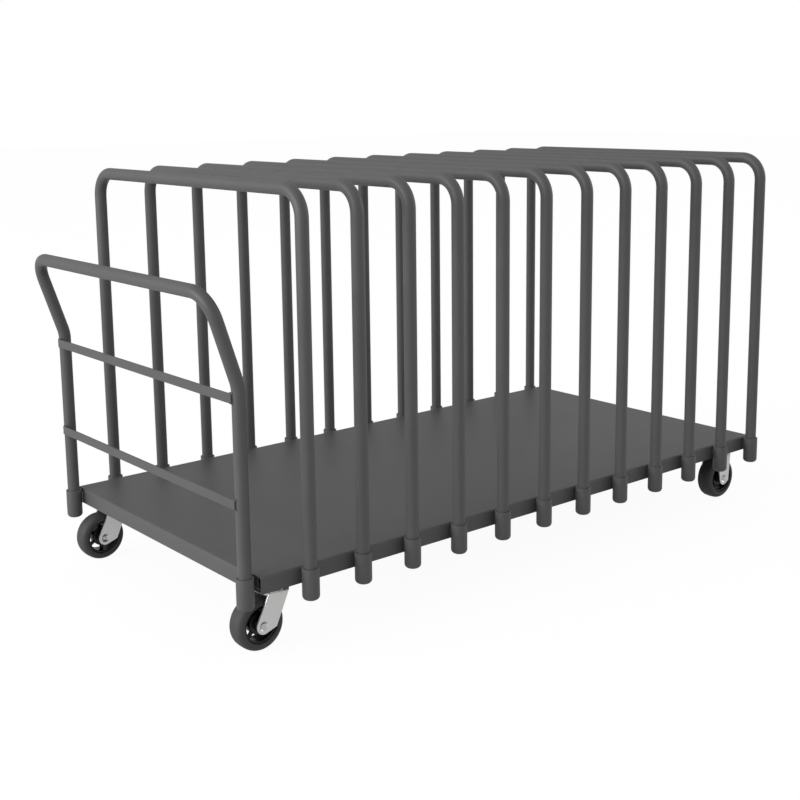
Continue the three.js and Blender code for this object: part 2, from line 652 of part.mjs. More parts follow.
// All pieces in the deck's own frame, moved so that the origin is under the middle of the whole cart.
function sheetGoodsCart() {
  const cart = new THREE.Group();
  cart.add(piece('deck', deckGeometry(), powderCoat()));
  cart.add(dividerRow());
  cart.add(pushHandle());
  for (const [side, y] of [['right', -casterY], ['left', casterY]]) {
    cart.add(swivelCaster(side, y));
    cart.add(rigidCaster(side, y));
  }
  const extent = new THREE.Box3().setFromObject(cart);
  cart.position.x = -(extent.min.x + extent.max.x) / 2;
  const part = new THREE.Group();
  part.add(cart);
  return part;
}

export default sheetGoodsCart();
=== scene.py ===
"""Dresses the sheet goods cart: smooth tubes, folded sheet, pressed yokes, wheels and finishes."""
import logging
import math
from dataclasses import dataclass, field
from enum import Enum
from typing import Callable, Sequence

import bmesh
import bpy
import numpy as np
from mathutils import Matrix, Vector


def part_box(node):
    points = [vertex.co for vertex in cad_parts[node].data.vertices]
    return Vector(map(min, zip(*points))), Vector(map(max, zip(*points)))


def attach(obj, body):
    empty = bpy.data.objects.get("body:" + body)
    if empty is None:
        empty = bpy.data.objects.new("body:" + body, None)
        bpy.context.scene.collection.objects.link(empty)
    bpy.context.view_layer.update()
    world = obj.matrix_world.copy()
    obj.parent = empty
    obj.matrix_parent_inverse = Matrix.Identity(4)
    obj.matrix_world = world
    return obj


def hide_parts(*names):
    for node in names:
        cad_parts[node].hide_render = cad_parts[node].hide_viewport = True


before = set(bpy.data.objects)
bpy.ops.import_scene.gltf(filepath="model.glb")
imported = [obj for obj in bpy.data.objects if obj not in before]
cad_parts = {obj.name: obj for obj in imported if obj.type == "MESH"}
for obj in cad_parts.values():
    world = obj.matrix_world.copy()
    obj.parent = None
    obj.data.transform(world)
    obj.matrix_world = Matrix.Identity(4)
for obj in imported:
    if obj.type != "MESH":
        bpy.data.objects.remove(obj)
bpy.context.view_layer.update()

Array = np.ndarray
Point = tuple[float, float]
Triple = tuple[float, float, float]
Socket = bpy.types.NodeSocket
Outputs = bpy.types.NodeOutputs
Drawn = dict[str, Socket]

LOG = logging.getLogger("sheet_goods_cart")
TAU = 2.0 * math.pi
QUARTER = math.pi / 2
SOLID_APOTHEM = math.cos(math.pi / 12)  # the solids' tubes and sleeves have twelve sides
SLEEVE_RADIUS = 0.02065
DIVIDER_NUMBERS = range(1, 13)
MERGE_DISTANCE = 2e-6
COLLAPSE_DISTANCE = 1e-7


class Slot(Enum):
    """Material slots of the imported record."""

    COAT = "powder_coat"
    ZINC = "zinc_plate"
    TYRE = "tyre_rubber"
    HUB = "hub_plastic"


class Side(Enum):
    """The two long sides of the cart, as signs of Y."""

    LEFT = 1
    RIGHT = -1

    @property
    def word(self) -> str:
        """The side's name in node and body names."""
        return self.name.lower()


# Surfaces


@dataclass
class Surface:
    """A mesh as arrays: corner points in metres and faces of four corner numbers."""

    points: Array
    faces: Array

    @staticmethod
    def grid(points: Array, wrap_rows: bool = False, wrap_columns: bool = False) -> "Surface":
        """Faces between the neighbours of a grid of points.

        Args:
            points: array of shape (rows, columns, 3).
            wrap_rows: join the last row to the first.
            wrap_columns: join the last column to the first.

        Returns:
            One face per grid cell.
        """
        rows, columns = points.shape[:2]
        number = np.arange(rows * columns).reshape(rows, columns)
        if wrap_rows:
            number = np.vstack([number, number[:1]])
        if wrap_columns:
            number = np.hstack([number, number[:, :1]])
        corners = [number[:-1, :-1], number[:-1, 1:], number[1:, 1:], number[1:, :-1]]
        return Surface(points.reshape(-1, 3), np.stack(corners, axis=-1).reshape(-1, 4))

    @staticmethod
    def joined(parts: Sequence["Surface"]) -> "Surface":
        """Several surfaces as one, with the faces renumbered.

        Args:
            parts: the surfaces.

        Returns:
            One surface.
        """
        starts = np.cumsum([0] + [len(part.points) for part in parts[:-1]])
        faces = [part.faces + start for part, start in zip(parts, starts)]
        return Surface(np.concatenate([part.points for part in parts]), np.concatenate(faces))

    def moved(self, offset: Sequence[float]) -> "Surface":
        """The same surface shifted by an offset."""
        return Surface(self.points + np.asarray(offset, float), self.faces)

    def mapped(self, change: Callable[[Array], Array]) -> "Surface":
        """The same faces on points changed by a function of the whole array."""
        return Surface(change(self.points), self.faces)


def turned(profile: Array, sides: int) -> Surface:
    """A profile of (radius, height) turned about Z: point = (r cos a, r sin a, h).

    Args:
        profile: array of shape (rows, 2), anticlockwise.
        sides: steps in the turn.

    Returns:
        The surface, open along the profile's ends.
    """
    angle = np.linspace(0.0, TAU, sides, endpoint=False)
    radius, height = profile[:, :1], profile[:, 1:]
    ring = np.stack([radius * np.cos(angle), radius * np.sin(angle), height + 0.0 * angle], axis=-1)
    return Surface.grid(ring, wrap_columns=True)


def axle_turned(profile: Array, sides: int) -> Surface:
    """A profile of (radius, offset) turned about Y: point = (r sin a, h, r cos a)."""
    return turned(profile, sides).mapped(lambda p: p[:, [1, 2, 0]])


def arc(centre: Point, radius: float, start: float, end: float, steps: int) -> Array:
    """Points on a circle: centre + radius (cos a, sin a) for a from start to end in degrees."""
    angle = np.radians(np.linspace(start, end, steps + 1))
    return np.asarray(centre) + radius * np.stack([np.cos(angle), np.sin(angle)], axis=-1)


def polyline(*parts: Sequence) -> Array:
    """Rows of plane points put end to end."""
    return np.concatenate([np.atleast_2d(np.asarray(part, float)) for part in parts])


def mirrored(profile: Array) -> Array:
    """A profile's other half: (r, -h), in reverse order."""
    return profile[::-1] * (1, -1)


@dataclass(frozen=True)
class Stud:
    """A turned stud, closed at both ends, whose lower edge is bevelled by (inwards, upwards)."""

    radius: float
    low: float
    high: float
    sides: int
    bevel: Point = (0.0, 0.0)

    def surface(self) -> Surface:
        """The stud about Z."""
        lower_edge = [(self.radius - self.bevel[0], self.low), (self.radius, self.low + self.bevel[1])]
        profile = polyline((0.0, self.low), lower_edge, (self.radius, self.high), (0.0, self.high))
        return turned(profile, self.sides)


@dataclass
class BentLine:
    """A centreline of straight runs and round bends, as stations with directions."""

    corners: Array
    radii: Sequence[float]
    steps: int = 14
    stations: Array = field(init=False)
    tangents: Array = field(init=False)

    def __post_init__(self) -> None:
        """Replaces each inner corner by an arc tangent to both runs.

        The arc starts radius * tan(turn / 2) before the corner and runs
        centre + radius (sin a * from - cos a * inward) for a from 0 to turn.
        """
        runs = np.diff(self.corners, axis=0)
        runs /= np.linalg.norm(runs, axis=1, keepdims=True)
        stations, tangents = [self.corners[:1]], [runs[:1]]
        for corner, radius, come, go in zip(self.corners[1:-1], self.radii, runs[:-1], runs[1:]):
            turn = math.acos(float(np.clip(come @ go, -1.0, 1.0)))
            inward = go - come * (come @ go)
            inward /= np.linalg.norm(inward)
            centre = corner - come * radius * math.tan(turn / 2) + inward * radius
            angle = np.linspace(0.0, turn, self.steps + 1)[:, None]
            stations.append(centre + radius * (np.sin(angle) * come - np.cos(angle) * inward))
            tangents.append(np.cos(angle) * come + np.sin(angle) * inward)
        self.stations = np.concatenate([*stations, self.corners[-1:]])
        self.tangents = np.concatenate([*tangents, runs[-1:]])

    def frames(self) -> tuple[Array, Array]:
        """Two cross directions at each station, carried along without twist.

        Returns:
            Arrays of normals and binormals of shape (stations, 3).
        """
        normal = np.cross(self.tangents[0], (0.0, 1.0, 0.0))
        normals = []
        for tangent in self.tangents:
            normal = normal - tangent * (normal @ tangent)
            normal = normal / np.linalg.norm(normal)
            normals.append(normal)
        across = np.array(normals)
        return across, np.cross(self.tangents, across)

    def tube(self, radius: float, wall: float, sides: int, lip: float = 0.0006) -> Surface:
        """A round tube with an open bore: the outer ring, a rounded mouth and the inner ring.

        Args:
            radius: outer radius.
            wall: wall thickness.
            sides: sides of the ring.
            lip: rounding of the cut ends.

        Returns:
            The closed tube, station + radius (cos a * normal + sin a * binormal).
        """
        normal, binormal = self.frames()
        angle = np.linspace(0.0, TAU, sides, endpoint=False)[:, None]
        ring = normal[:, None] * np.cos(angle) + binormal[:, None] * np.sin(angle)
        spine = self.stations.copy()
        spine[0] += self.tangents[0] * lip
        spine[-1] -= self.tangents[-1] * lip
        outer = spine[:, None] + ring * radius
        inner = self.stations[:, None] + ring * (radius - wall)
        mouths = self.stations[[0, -1], None] + ring[[0, -1]] * (radius - lip)
        rows = np.concatenate([mouths[:1], outer, mouths[1:], inner[::-1]])
        return Surface.grid(rows, wrap_rows=True, wrap_columns=True)


@dataclass(frozen=True)
class RoundedBar:
    """A bar's form: its section's exponent, the points round it and the stations along it."""

    power: float
    around: int
    along: int
    softness: float = 0.5
    end_steps: int = 5

    def surface(self, half: Triple) -> Surface:
        """A bar along Y whose section is a superellipse and whose ends are rounded off.

        The section is (a sgn(c)|c|^(2/p), b sgn(s)|s|^(2/p)). At both ends it shrinks by a quarter
        circle and closes in a point.

        Args:
            half: half sizes along X, Y and Z.

        Returns:
            The closed bar about the origin.
        """
        angle = np.linspace(0.0, TAU, self.around, endpoint=False)
        section_x, section_z = (
            size * np.sign(wave) * np.abs(wave) ** (2 / self.power)
            for size, wave in ((half[0], np.cos(angle)), (half[2], np.sin(angle))))
        soft = min(half) * self.softness
        turn = np.linspace(0.0, QUARTER, self.end_steps + 1)
        end_y = half[1] - soft * (1 - np.sin(turn))
        end_inset = soft * (1 - np.cos(turn))
        straight = np.linspace(-end_y[0], end_y[0], self.along)[1:-1]
        station = np.concatenate([-end_y[::-1], straight, end_y])[:, None]
        inset = np.concatenate([end_inset[::-1], 0 * straight, end_inset])[:, None]
        x, z = (1 - inset / half[0]) * section_x, (1 - inset / half[2]) * section_z
        body = np.stack([x, station + 0 * angle, z], axis=-1)
        tips = [np.broadcast_to([0.0, y, 0.0], (1, self.around, 3)) for y in (-half[1], half[1])]
        return Surface.grid(np.concatenate([tips[0], body, tips[1]]), wrap_columns=True)


def plate(outline: Array, low: float, high: float, edge: float, edge_steps: int = 3) -> Surface:
    """A flat plate in XY from a star-shaped outline, with rounded upper and lower rims.

    Each ring is the outline drawn towards its middle: centre + k (outline - centre).

    Args:
        outline: array of shape (points, 2), anticlockwise.
        low: height of the lower face.
        high: height of the upper face.
        edge: rim rounding.
        edge_steps: steps round each rim.

    Returns:
        The closed plate.
    """
    centre = outline.mean(axis=0)
    reach = np.linalg.norm(outline - centre, axis=1).mean()
    turn = np.linspace(0.0, QUARTER, edge_steps + 1)
    rim = 1 - edge * (1 - np.sin(turn)) / reach
    rise = edge * (1 - np.cos(turn))
    face = np.array([0.0, 0.5])
    scale = np.concatenate([face, rim, rim[::-1], face[::-1]])
    height = np.concatenate([[low, low], low + rise, (high - rise)[::-1], [high, high]])
    flat = centre + scale[:, None, None] * (outline - centre)
    level = np.broadcast_to(height[:, None, None], flat.shape[:2] + (1,))
    return Surface.grid(np.concatenate([flat, level], axis=-1), wrap_columns=True)


def rounded_rectangle(half_x: float, half_y: float, corner: float, steps: int = 8) -> Array:
    """An anticlockwise rectangle outline with quarter-circle corners."""
    x, y = half_x - corner, half_y - corner
    centres = ((x, y), (-x, y), (-x, -y), (x, -y))
    return polyline(*(arc(centre, corner, 90 * i, 90 * i + 90, steps) for i, centre in enumerate(centres)))


# Finishes


class NodeSheet:
    """A shader node tree with short ways to add and join nodes."""

    def __init__(self, tree: bpy.types.NodeTree) -> None:
        """Keeps the tree to draw in."""
        self.tree = tree

    @classmethod
    def cleared(cls, owner: bpy.types.Material | bpy.types.World) -> "NodeSheet":
        """The emptied node tree of a material or a world."""
        owner.use_nodes = True
        owner.node_tree.nodes.clear()
        return cls(owner.node_tree)

    def add(self, kind: str, inputs: dict | None = None, **settings: object) -> bpy.types.Node:
        """A new node with its properties and inputs set.

        Args:
            kind: the node's type name.
            inputs: values or sockets by the input's name or number.
            settings: property names and values.

        Returns:
            The node.
        """
        node = self.tree.nodes.new(kind)
        for name, value in settings.items():
            setattr(node, name, value)
        for name, value in (inputs or {}).items():
            if isinstance(value, Socket):
                self.tree.links.new(value, node.inputs[name])
            else:
                node.inputs[name].default_value = value
        return node

    def math(self, kind: str, first: object, second: object) -> Socket:
        """A math node's result on two inputs, each a socket or a number."""
        return self.add("ShaderNodeMath", {0: first, 1: second}, operation=kind).outputs[0]

    def place(self) -> Socket:
        """Object coordinates."""
        return self.add("ShaderNodeTexCoord").outputs["Object"]

    def upward(self) -> Socket:
        """The Z of the surface's normal."""
        normal = self.add("ShaderNodeNewGeometry").outputs["Normal"]
        return self.add("ShaderNodeSeparateXYZ", {0: normal}).outputs["Z"]

    def noise(self, scale: object, detail: float, place: Socket | None = None) -> Socket:
        """Noise of a scale and detail, in object coordinates if no place is given."""
        inputs = {"Vector": place or self.place(), "Scale": scale, "Detail": detail}
        return self.add("ShaderNodeTexNoise", inputs).outputs["Fac"]

    def ranged(self, value: Socket, start: Point = (0.0, 1.0), end: Point = (0.0, 1.0)) -> Socket:
        """A value carried from one range to another and held within it."""
        labels = ("From Min", "From Max", "To Min", "To Max", "Value")
        return self.add("ShaderNodeMapRange", dict(zip(labels, (*start, *end, value)))).outputs["Result"]

    def blended(self, share: Socket, first: object, second: object) -> Socket:
        """Two colours mixed, from the first at share 0 to the second at share 1."""
        return self.add("ShaderNodeMix", {0: share, 6: first, 7: second}, data_type="RGBA").outputs[2]


@dataclass(frozen=True)
class Effect:
    """A node group that finishes share: its inputs' usual values and what draws its outputs."""

    name: str
    usual: dict[str, float]
    draw: Callable[[NodeSheet, Outputs], Drawn]

    def tree(self) -> bpy.types.NodeTree:
        """The group, made on first use, with one float socket for each input and output.

        Returns:
            The node tree.
        """
        if self.name in bpy.data.node_groups:
            return bpy.data.node_groups[self.name]
        tree = bpy.data.node_groups.new(self.name, "ShaderNodeTree")
        for label, value in self.usual.items():
            socket = tree.interface.new_socket(label, in_out="INPUT", socket_type="NodeSocketFloat")
            socket.default_value = value
        sheet = NodeSheet(tree)
        drawn = self.draw(sheet, sheet.add("NodeGroupInput").outputs)
        for label in drawn:
            tree.interface.new_socket(label, in_out="OUTPUT", socket_type="NodeSocketFloat")
        sheet.add("NodeGroupOutput", drawn)
        return tree

    def use(self, sheet: NodeSheet, **values: float) -> Outputs:
        """The outputs of this group as a node of a sheet, with some of its inputs set."""
        return sheet.add("ShaderNodeGroup", values, node_tree=self.tree()).outputs


SPECK_RANGE = (0.16, 0.05)
# The painted shade on faces that look down: the normal's Z over which it sets in, its base and its noise
# share.
UNDER_RANGE = (-0.12, -0.55)
SHADE_BASE = 0.8
SHADE_PATCH = 0.4
DUST_COLOUR = (0.34, 0.335, 0.325, 1.0)
# Near-black colour of that painted shade.
PAINTED_SHADE_COLOUR = (0.045, 0.044, 0.042, 1.0)
MOTTLE_RANGE = (0.3, 0.7)
STREAK_SHARE = 0.5
SPECK_GLOSS = 0.25


def draw_skin(sheet: NodeSheet, given: Outputs) -> Drawn:
    """Sprayed or moulded skin: fine orange-peel height, broad mottle and small specks."""
    cells = sheet.add("ShaderNodeTexVoronoi", {"Vector": sheet.place(), "Scale": given["Speck"]})
    return {"Height": sheet.noise(given["Grain"], detail=3.0),
            "Mottle": sheet.noise(given["Patch"], detail=5.0),
            "Specks": sheet.ranged(cells.outputs["Distance"], SPECK_RANGE)}


def draw_streaks(sheet: NodeSheet, given: Outputs) -> Drawn:
    """Rolling and drawing marks: noise stretched along Z, and clouds."""
    scale = sheet.add("ShaderNodeCombineXYZ", {"X": given["Fine"], "Y": given["Fine"], "Z": given["Long"]})
    factors = {0: sheet.place(), 1: scale.outputs["Vector"]}
    stretched = sheet.add("ShaderNodeVectorMath", factors, operation="MULTIPLY").outputs["Vector"]
    return {"Streak": sheet.noise(1.0, detail=4.0, place=stretched),
            "Cloud": sheet.noise(given["Cloud"], detail=6.0)}


def draw_dust(sheet: NodeSheet, given: Outputs) -> Drawn:
    """Fine dust on faces that look up: the normal's Z times patchy noise."""
    level = sheet.math("MAXIMUM", sheet.upward(), 0.0)
    patchy = sheet.math("MULTIPLY", level, sheet.noise(given["Patch"], detail=8.0))
    return {"Dust": sheet.math("MULTIPLY", patchy, given["Amount"])}


def draw_underside_shade(sheet: NodeSheet, given: Outputs) -> Drawn:
    """Painted shade on faces that look down, under lips and on the dishes' upper slopes: the normal's fall
    below level times noise.
    """
    under = sheet.ranged(sheet.upward(), UNDER_RANGE)
    noise = sheet.math("MULTIPLY", sheet.noise(given["Patch"], detail=5.0), SHADE_PATCH)
    strong = sheet.math("MULTIPLY", under, sheet.math("ADD", noise, SHADE_BASE))
    return {"Grime": sheet.math("MULTIPLY", strong, given["Amount"])}


COAT_TEXTURE = Effect("coat_texture", {"Grain": 650.0, "Patch": 9.0, "Speck": 420.0}, draw_skin)
DRAWN_STREAKS = Effect("drawn_streaks", {"Fine": 900.0, "Long": 30.0, "Cloud": 35.0}, draw_streaks)
SETTLED_DUST = Effect("settled_dust", {"Patch": 14.0, "Amount": 0.2}, draw_dust)
# Painted shade: faces that look down are darkened, like the shade under lips and in the dishes.
UNDERSIDE_SHADE = Effect("lee_grime", {"Patch": 160.0, "Amount": 0.5}, draw_underside_shade)


@dataclass(frozen=True)
class Finish:
    """A surface finish: its colours, range of roughness and the strength of its texture."""

    name: str
    slot: Slot
    dark: Triple
    light: Triple
    rough: Point
    metallic: float = 0.0
    specular: float = 0.5
    grain: float = 650.0
    patch: float = 9.0
    bump: float = 0.1
    bump_depth: float = 0.0002
    dust: float = 0.0
    # Strength of the painted shade on faces that look down.
    grime: float = 0.0
    streaks: bool = False

    def material(self) -> bpy.types.Material:
        """The finish as a node material, made on first use.

        Returns:
            The material.
        """
        if self.name in bpy.data.materials:
            return bpy.data.materials[self.name]
        material = bpy.data.materials.new(self.name)
        sheet = NodeSheet.cleared(material)
        texture = COAT_TEXTURE.use(sheet, Grain=self.grain, Patch=self.patch)
        blend, height = texture["Mottle"], texture["Height"]
        if self.streaks:
            drawn = DRAWN_STREAKS.use(sheet)
            blend = sheet.math("ADD", sheet.math("MULTIPLY", drawn["Streak"], STREAK_SHARE),
                               sheet.math("MULTIPLY", drawn["Cloud"], 1.0 - STREAK_SHARE))
            height = sheet.math("ADD", height, drawn["Streak"])
        share = sheet.ranged(blend, MOTTLE_RANGE)
        colour = sheet.blended(share, (*self.dark, 1.0), (*self.light, 1.0))
        if self.dust > 0.0:
            settled = SETTLED_DUST.use(sheet, Amount=self.dust)
            colour = sheet.blended(settled["Dust"], colour, DUST_COLOUR)
        # Painted shade: faces that look down are blended towards near-black.
        if self.grime > 0.0:
            painted_shade = UNDERSIDE_SHADE.use(sheet, Amount=self.grime)
            colour = sheet.blended(painted_shade["Grime"], colour, PAINTED_SHADE_COLOUR)
        specked = sheet.math("ADD", share, sheet.math("MULTIPLY", texture["Specks"], SPECK_GLOSS))
        relief = sheet.add(
            "ShaderNodeBump", {"Strength": self.bump, "Distance": self.bump_depth, "Height": height})
        shader = sheet.add("ShaderNodeBsdfPrincipled", {
            "Base Color": colour, "Metallic": self.metallic, "Specular IOR Level": self.specular,
            "Roughness": sheet.ranged(specked, end=self.rough), "Normal": relief.outputs["Normal"]})
        sheet.add("ShaderNodeOutputMaterial", {"Surface": shader.outputs["BSDF"]})
        return material


class FinishSet:
    """All finishes of the cart."""

    COAT = Finish("dark_grey_powder_coat", Slot.COAT, (0.081, 0.081, 0.0815), (0.089, 0.089, 0.0895),
                  (0.46, 0.51), specular=0.38, grain=520.0, patch=7.0, bump=0.22, bump_depth=0.00025,
                  dust=0.05)
    WELD = Finish("coated_weld", Slot.COAT, (0.076, 0.076, 0.0765), (0.090, 0.090, 0.0905),
                  (0.40, 0.56), specular=0.38, grain=900.0, patch=60.0, bump=0.3, bump_depth=0.0003)
    # The zinc's faces that look down, the dishes' upper slopes among them, carry strong painted shade.
    ZINC = Finish("bright_zinc", Slot.ZINC, (0.615, 0.62, 0.615), (0.665, 0.665, 0.655),
                  (0.24, 0.33), metallic=0.88, grain=1400.0, bump=0.05, bump_depth=0.00008,
                  grime=0.85, streaks=True)
    # Partly a duller zinc, partly painted shade: a darker copy of the bright zinc for the plates and screws
    # tucked under the deck, with painted shade on faces that look down.
    PLATE = Finish("dull_zinc", Slot.ZINC, (0.27, 0.27, 0.268), (0.33, 0.33, 0.325),
                   (0.40, 0.52), metallic=0.7, grain=1200.0, bump=0.06, bump_depth=0.00008,
                   grime=0.6, streaks=True)
    STEEL = Finish("zinc_bolt", Slot.ZINC, (0.50, 0.50, 0.49), (0.60, 0.595, 0.58),
                   (0.30, 0.44), metallic=0.85, grain=1600.0, bump=0.1, bump_depth=0.00006, streaks=True)
    TYRE = Finish("moulded_rubber", Slot.TYRE, (0.040, 0.040, 0.0405), (0.056, 0.056, 0.0565),
                  (0.58, 0.74), specular=0.4, grain=850.0, patch=38.0, bump=0.28, dust=0.05)
    HUB = Finish("gloss_black_core", Slot.HUB, (0.0060, 0.0060, 0.0064), (0.009, 0.009, 0.0094),
                 (0.28, 0.38), specular=0.32, grain=300.0, patch=45.0, bump=0.06, bump_depth=0.0001)


# Pieces


def mesh_of(name: str, surface: Surface) -> bpy.types.Mesh:
    """A surface as a new mesh."""
    mesh = bpy.data.meshes.new(name)
    mesh.from_pydata(surface.points.tolist(), [], surface.faces.tolist())
    return mesh


def placed(name: str, data: bpy.types.ID) -> bpy.types.Object:
    """A new object in the scene."""
    thing = bpy.data.objects.new(name, data)
    bpy.context.scene.collection.objects.link(thing)
    return thing


@dataclass(frozen=True)
class Fold:
    """Modifiers that finish a thin sheet: its thickness and the rounding of its cut edges."""

    thickness: float
    edge: float
    edge_steps: int = 2
    edge_angle: float = 50.0

    def dress(self, thing: bpy.types.Object) -> None:
        """Adds the modifiers to a sheet's middle surface."""
        wall = thing.modifiers.new("sheet", "SOLIDIFY")
        wall.thickness = self.thickness
        wall.offset = 0.0
        rim = thing.modifiers.new("rim", "BEVEL")
        rim.width = self.edge
        rim.segments = self.edge_steps
        rim.limit_method = "ANGLE"
        rim.angle_limit = math.radians(self.edge_angle)


def piece(name: str, surface: Surface, finish: Finish, body: str, nodes: Sequence[str] = (),
          fold: Fold | None = None, crease: float = 32.0) -> None:
    """Makes a finished piece that rides on one of the cart's bodies.

    Args:
        name: the piece's name.
        surface: its points and faces.
        finish: its finish.
        body: the body it rides on.
        nodes: the solids it stands for.
        fold: thickness and edge of a sheet, or None for a closed form.
        crease: angle in degrees above which an edge stays sharp.
    """
    mesh = mesh_of(name, surface)
    shape = bmesh.new()
    shape.from_mesh(mesh)
    bmesh.ops.remove_doubles(shape, verts=shape.verts, dist=MERGE_DISTANCE)
    bmesh.ops.dissolve_degenerate(shape, edges=shape.edges, dist=COLLAPSE_DISTANCE)
    bmesh.ops.recalc_face_normals(shape, faces=shape.faces)
    shape.to_mesh(mesh)
    shape.free()
    mesh.polygons.foreach_set("use_smooth", np.ones(len(mesh.polygons), bool))
    mesh.set_sharp_from_angle(angle=math.radians(crease))
    mesh.materials.append(finish.material())
    thing = placed(name, mesh)
    if fold is not None:
        fold.dress(thing)
    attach(thing, body)
    if nodes:
        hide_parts(*nodes)
    LOG.info("%s: %d points on %s", name, len(mesh.vertices), body)


def middle(node: str) -> Vector:
    """The middle of a node's box."""
    low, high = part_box(node)
    return (low + high) / 2


def socket_axis(node: str) -> Vector:
    """A sleeve's axis in plan: one apothem of the solid's wall in from its low X side."""
    return Vector((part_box(node)[0].x + SLEEVE_RADIUS * SOLID_APOTHEM, middle(node).y, 0.0))


# The cart's assemblies


@dataclass
class DeckTray:
    """The folded deck sheet and the caster channels under it."""

    sheet: float = 0.0027
    bend: float = 0.0048
    bend_steps: int = 8
    steps_along: int = 48
    steps_across: int = 24
    edge: float = 0.0004
    handle_notch: float = 0.033
    corner_notch: float = 0.009
    handle_side_notch: float = 0.0054
    channel_width: float = 0.118
    channel_sheet: float = 0.004
    channel_length: float = 0.876
    channel_bend: float = 0.006
    channel_bend_steps: int = 6
    channel_steps: int = 8
    channel_edge: float = 0.0005
    channel_gap: float = 0.0001

    def _folded(self, half: float, steps: int, depth: float, stops: Sequence[float]) -> tuple[Array, Array]:
        """Place and drop of a sheet across one fold direction, with grid lines where flanges stop.

        Flat up to half - bend, then bend (sin a, 1 - cos a), then straight down.

        Args:
            half: half the outside width, to the sheet's middle.
            steps: steps across the flat.
            depth: drop of the lower edge.
            stops: distances of the extra lines from the middle.

        Returns:
            Positions and drops, from one lower edge over the top to the other.
        """
        angle = np.linspace(0.0, QUARTER, self.bend_steps + 1)
        flat = np.linspace(0.0, half - self.bend, steps // 2 + 1)[1:-1]
        place = np.concatenate([flat, half - self.bend + self.bend * np.sin(angle), [half, half], stops])
        straight = [(self.bend + depth) / 2, depth]
        drop = np.concatenate([0 * flat, self.bend * (1 - np.cos(angle)), straight, np.zeros(len(stops))])
        order = np.lexsort((drop, place))
        place, drop = place[order], drop[order]
        return np.concatenate([-place[::-1], [0.0], place]), np.concatenate([drop[::-1], [0.0], drop])

    def surface(self) -> Surface:
        """The sheet's middle surface: (x(u), y(v), top - drop(u) - drop(v)), open at the four corners.

        No face folds both ways. The flanges of the ends stop short of the corners, further at the
        handle's end, and the flanges of the sides stop short of the ends.

        Returns:
            The open sheet, ready for its thickness.
        """
        low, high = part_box("deck")
        size, inset = high - low, self.sheet / 2
        side_stops = size.x / 2 - self.handle_side_notch, size.x / 2 - self.corner_notch
        end_stops = size.y / 2 - self.handle_notch, size.y / 2 - self.corner_notch
        depth = size.z - inset
        place_x, drop_x = self._folded(size.x / 2 - inset, self.steps_along, depth, side_stops)
        place_y, drop_y = self._folded(size.y / 2 - inset, self.steps_across, depth, end_stops)
        x, y = np.meshgrid(place_x, place_y, indexing="ij")
        z = high.z - inset - drop_x[:, None] - drop_y
        whole = Surface.grid(np.stack([x + middle("deck").x, y, z], axis=-1))
        cell_x = ((place_x[:-1] + place_x[1:]) / 2)[:, None]
        cell_y = (place_y[:-1] + place_y[1:]) / 2
        in_end = np.maximum(drop_x[:-1], drop_x[1:])[:, None] > 0
        in_side = np.maximum(drop_y[:-1], drop_y[1:]) > 0
        past_end = np.abs(cell_y) > np.where(cell_x < 0, *end_stops)
        past_side = np.abs(cell_x) > np.where(cell_x < 0, *side_stops)
        cut = in_end & (in_side | past_end) | in_side & past_side
        return Surface(whole.points, whole.faces[~cut.reshape(-1)])

    def channel(self, x: float, low: float, high: float) -> Surface:
        """A channel across the deck: a U section of two walls, two round bends and a floor, along Y.

        Args:
            x: the channel's middle.
            low: height of its floor's underside.
            high: height of its walls' top.

        Returns:
            The section's middle surface.
        """
        half, bend = (self.channel_width - self.channel_sheet) / 2, self.channel_bend
        centre_z = low + self.channel_sheet / 2 + bend
        section = polyline(
            (-half, high), arc((bend - half, centre_z), bend, 180, 270, self.channel_bend_steps),
            arc((half - bend, centre_z), bend, 270, 360, self.channel_bend_steps), (half, high))
        along = np.linspace(-self.channel_length / 2, self.channel_length / 2, self.channel_steps + 1)
        return Surface.grid(np.stack(np.broadcast_arrays(x + section[:, :1], along, section[:, 1:]), axis=-1))

    def build(self) -> None:
        """Makes the deck and its channels."""
        low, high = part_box("deck")
        piece("deck_sheet", self.surface(), FinishSet.COAT, "base", ["deck"], Fold(self.sheet, self.edge))
        under = high.z - self.sheet - self.channel_gap
        carried = ("swivel_plate_left", "rigid_frame_left")
        channels = Surface.joined([self.channel(middle(node).x, low.z, under) for node in carried])
        piece("caster_channels", channels, FinishSet.COAT, "base", ["deck"],
              Fold(self.channel_sheet, self.channel_edge))


@dataclass
class WeldBead:
    """A weld bead: a round rope whose radius swells as 1 + swell |sin| along its length."""

    radius: float = 0.0031
    pitch: float = 0.0034
    swell: float = 0.16
    steps: int = 55
    sides: int = 10
    guide: Triple = (0.31, 0.77, 0.55)
    crease: float = 80.0

    def surface(self, start: Vector, end: Vector) -> Surface:
        """The closed bead: spine + size (cos a * first + sin a * second), tapered at both ends.

        Args:
            start: lower end.
            end: upper end.

        Returns:
            The bead.
        """
        length = (end - start).length
        along = np.linspace(0.0, 1.0, self.steps + 1)
        swell = 1 + self.swell * np.abs(np.sin(along * length / self.pitch * math.pi))
        taper = np.clip(np.minimum(along, 1 - along) * length / self.radius, 0.0, 1.0)
        size = self.radius * swell * np.sqrt(1 - (1 - taper) ** 2)
        spine = np.outer(1 - along, start) + np.outer(along, end)
        direction = np.array((end - start).normalized())
        first = np.cross(direction, self.guide)
        first /= np.linalg.norm(first)
        angle = np.linspace(0.0, TAU, self.sides, endpoint=False)[:, None]
        ring = np.cos(angle) * first + np.sin(angle) * np.cross(direction, first)
        return Surface.grid(spine[:, None] + size[:, None, None] * ring, wrap_columns=True)


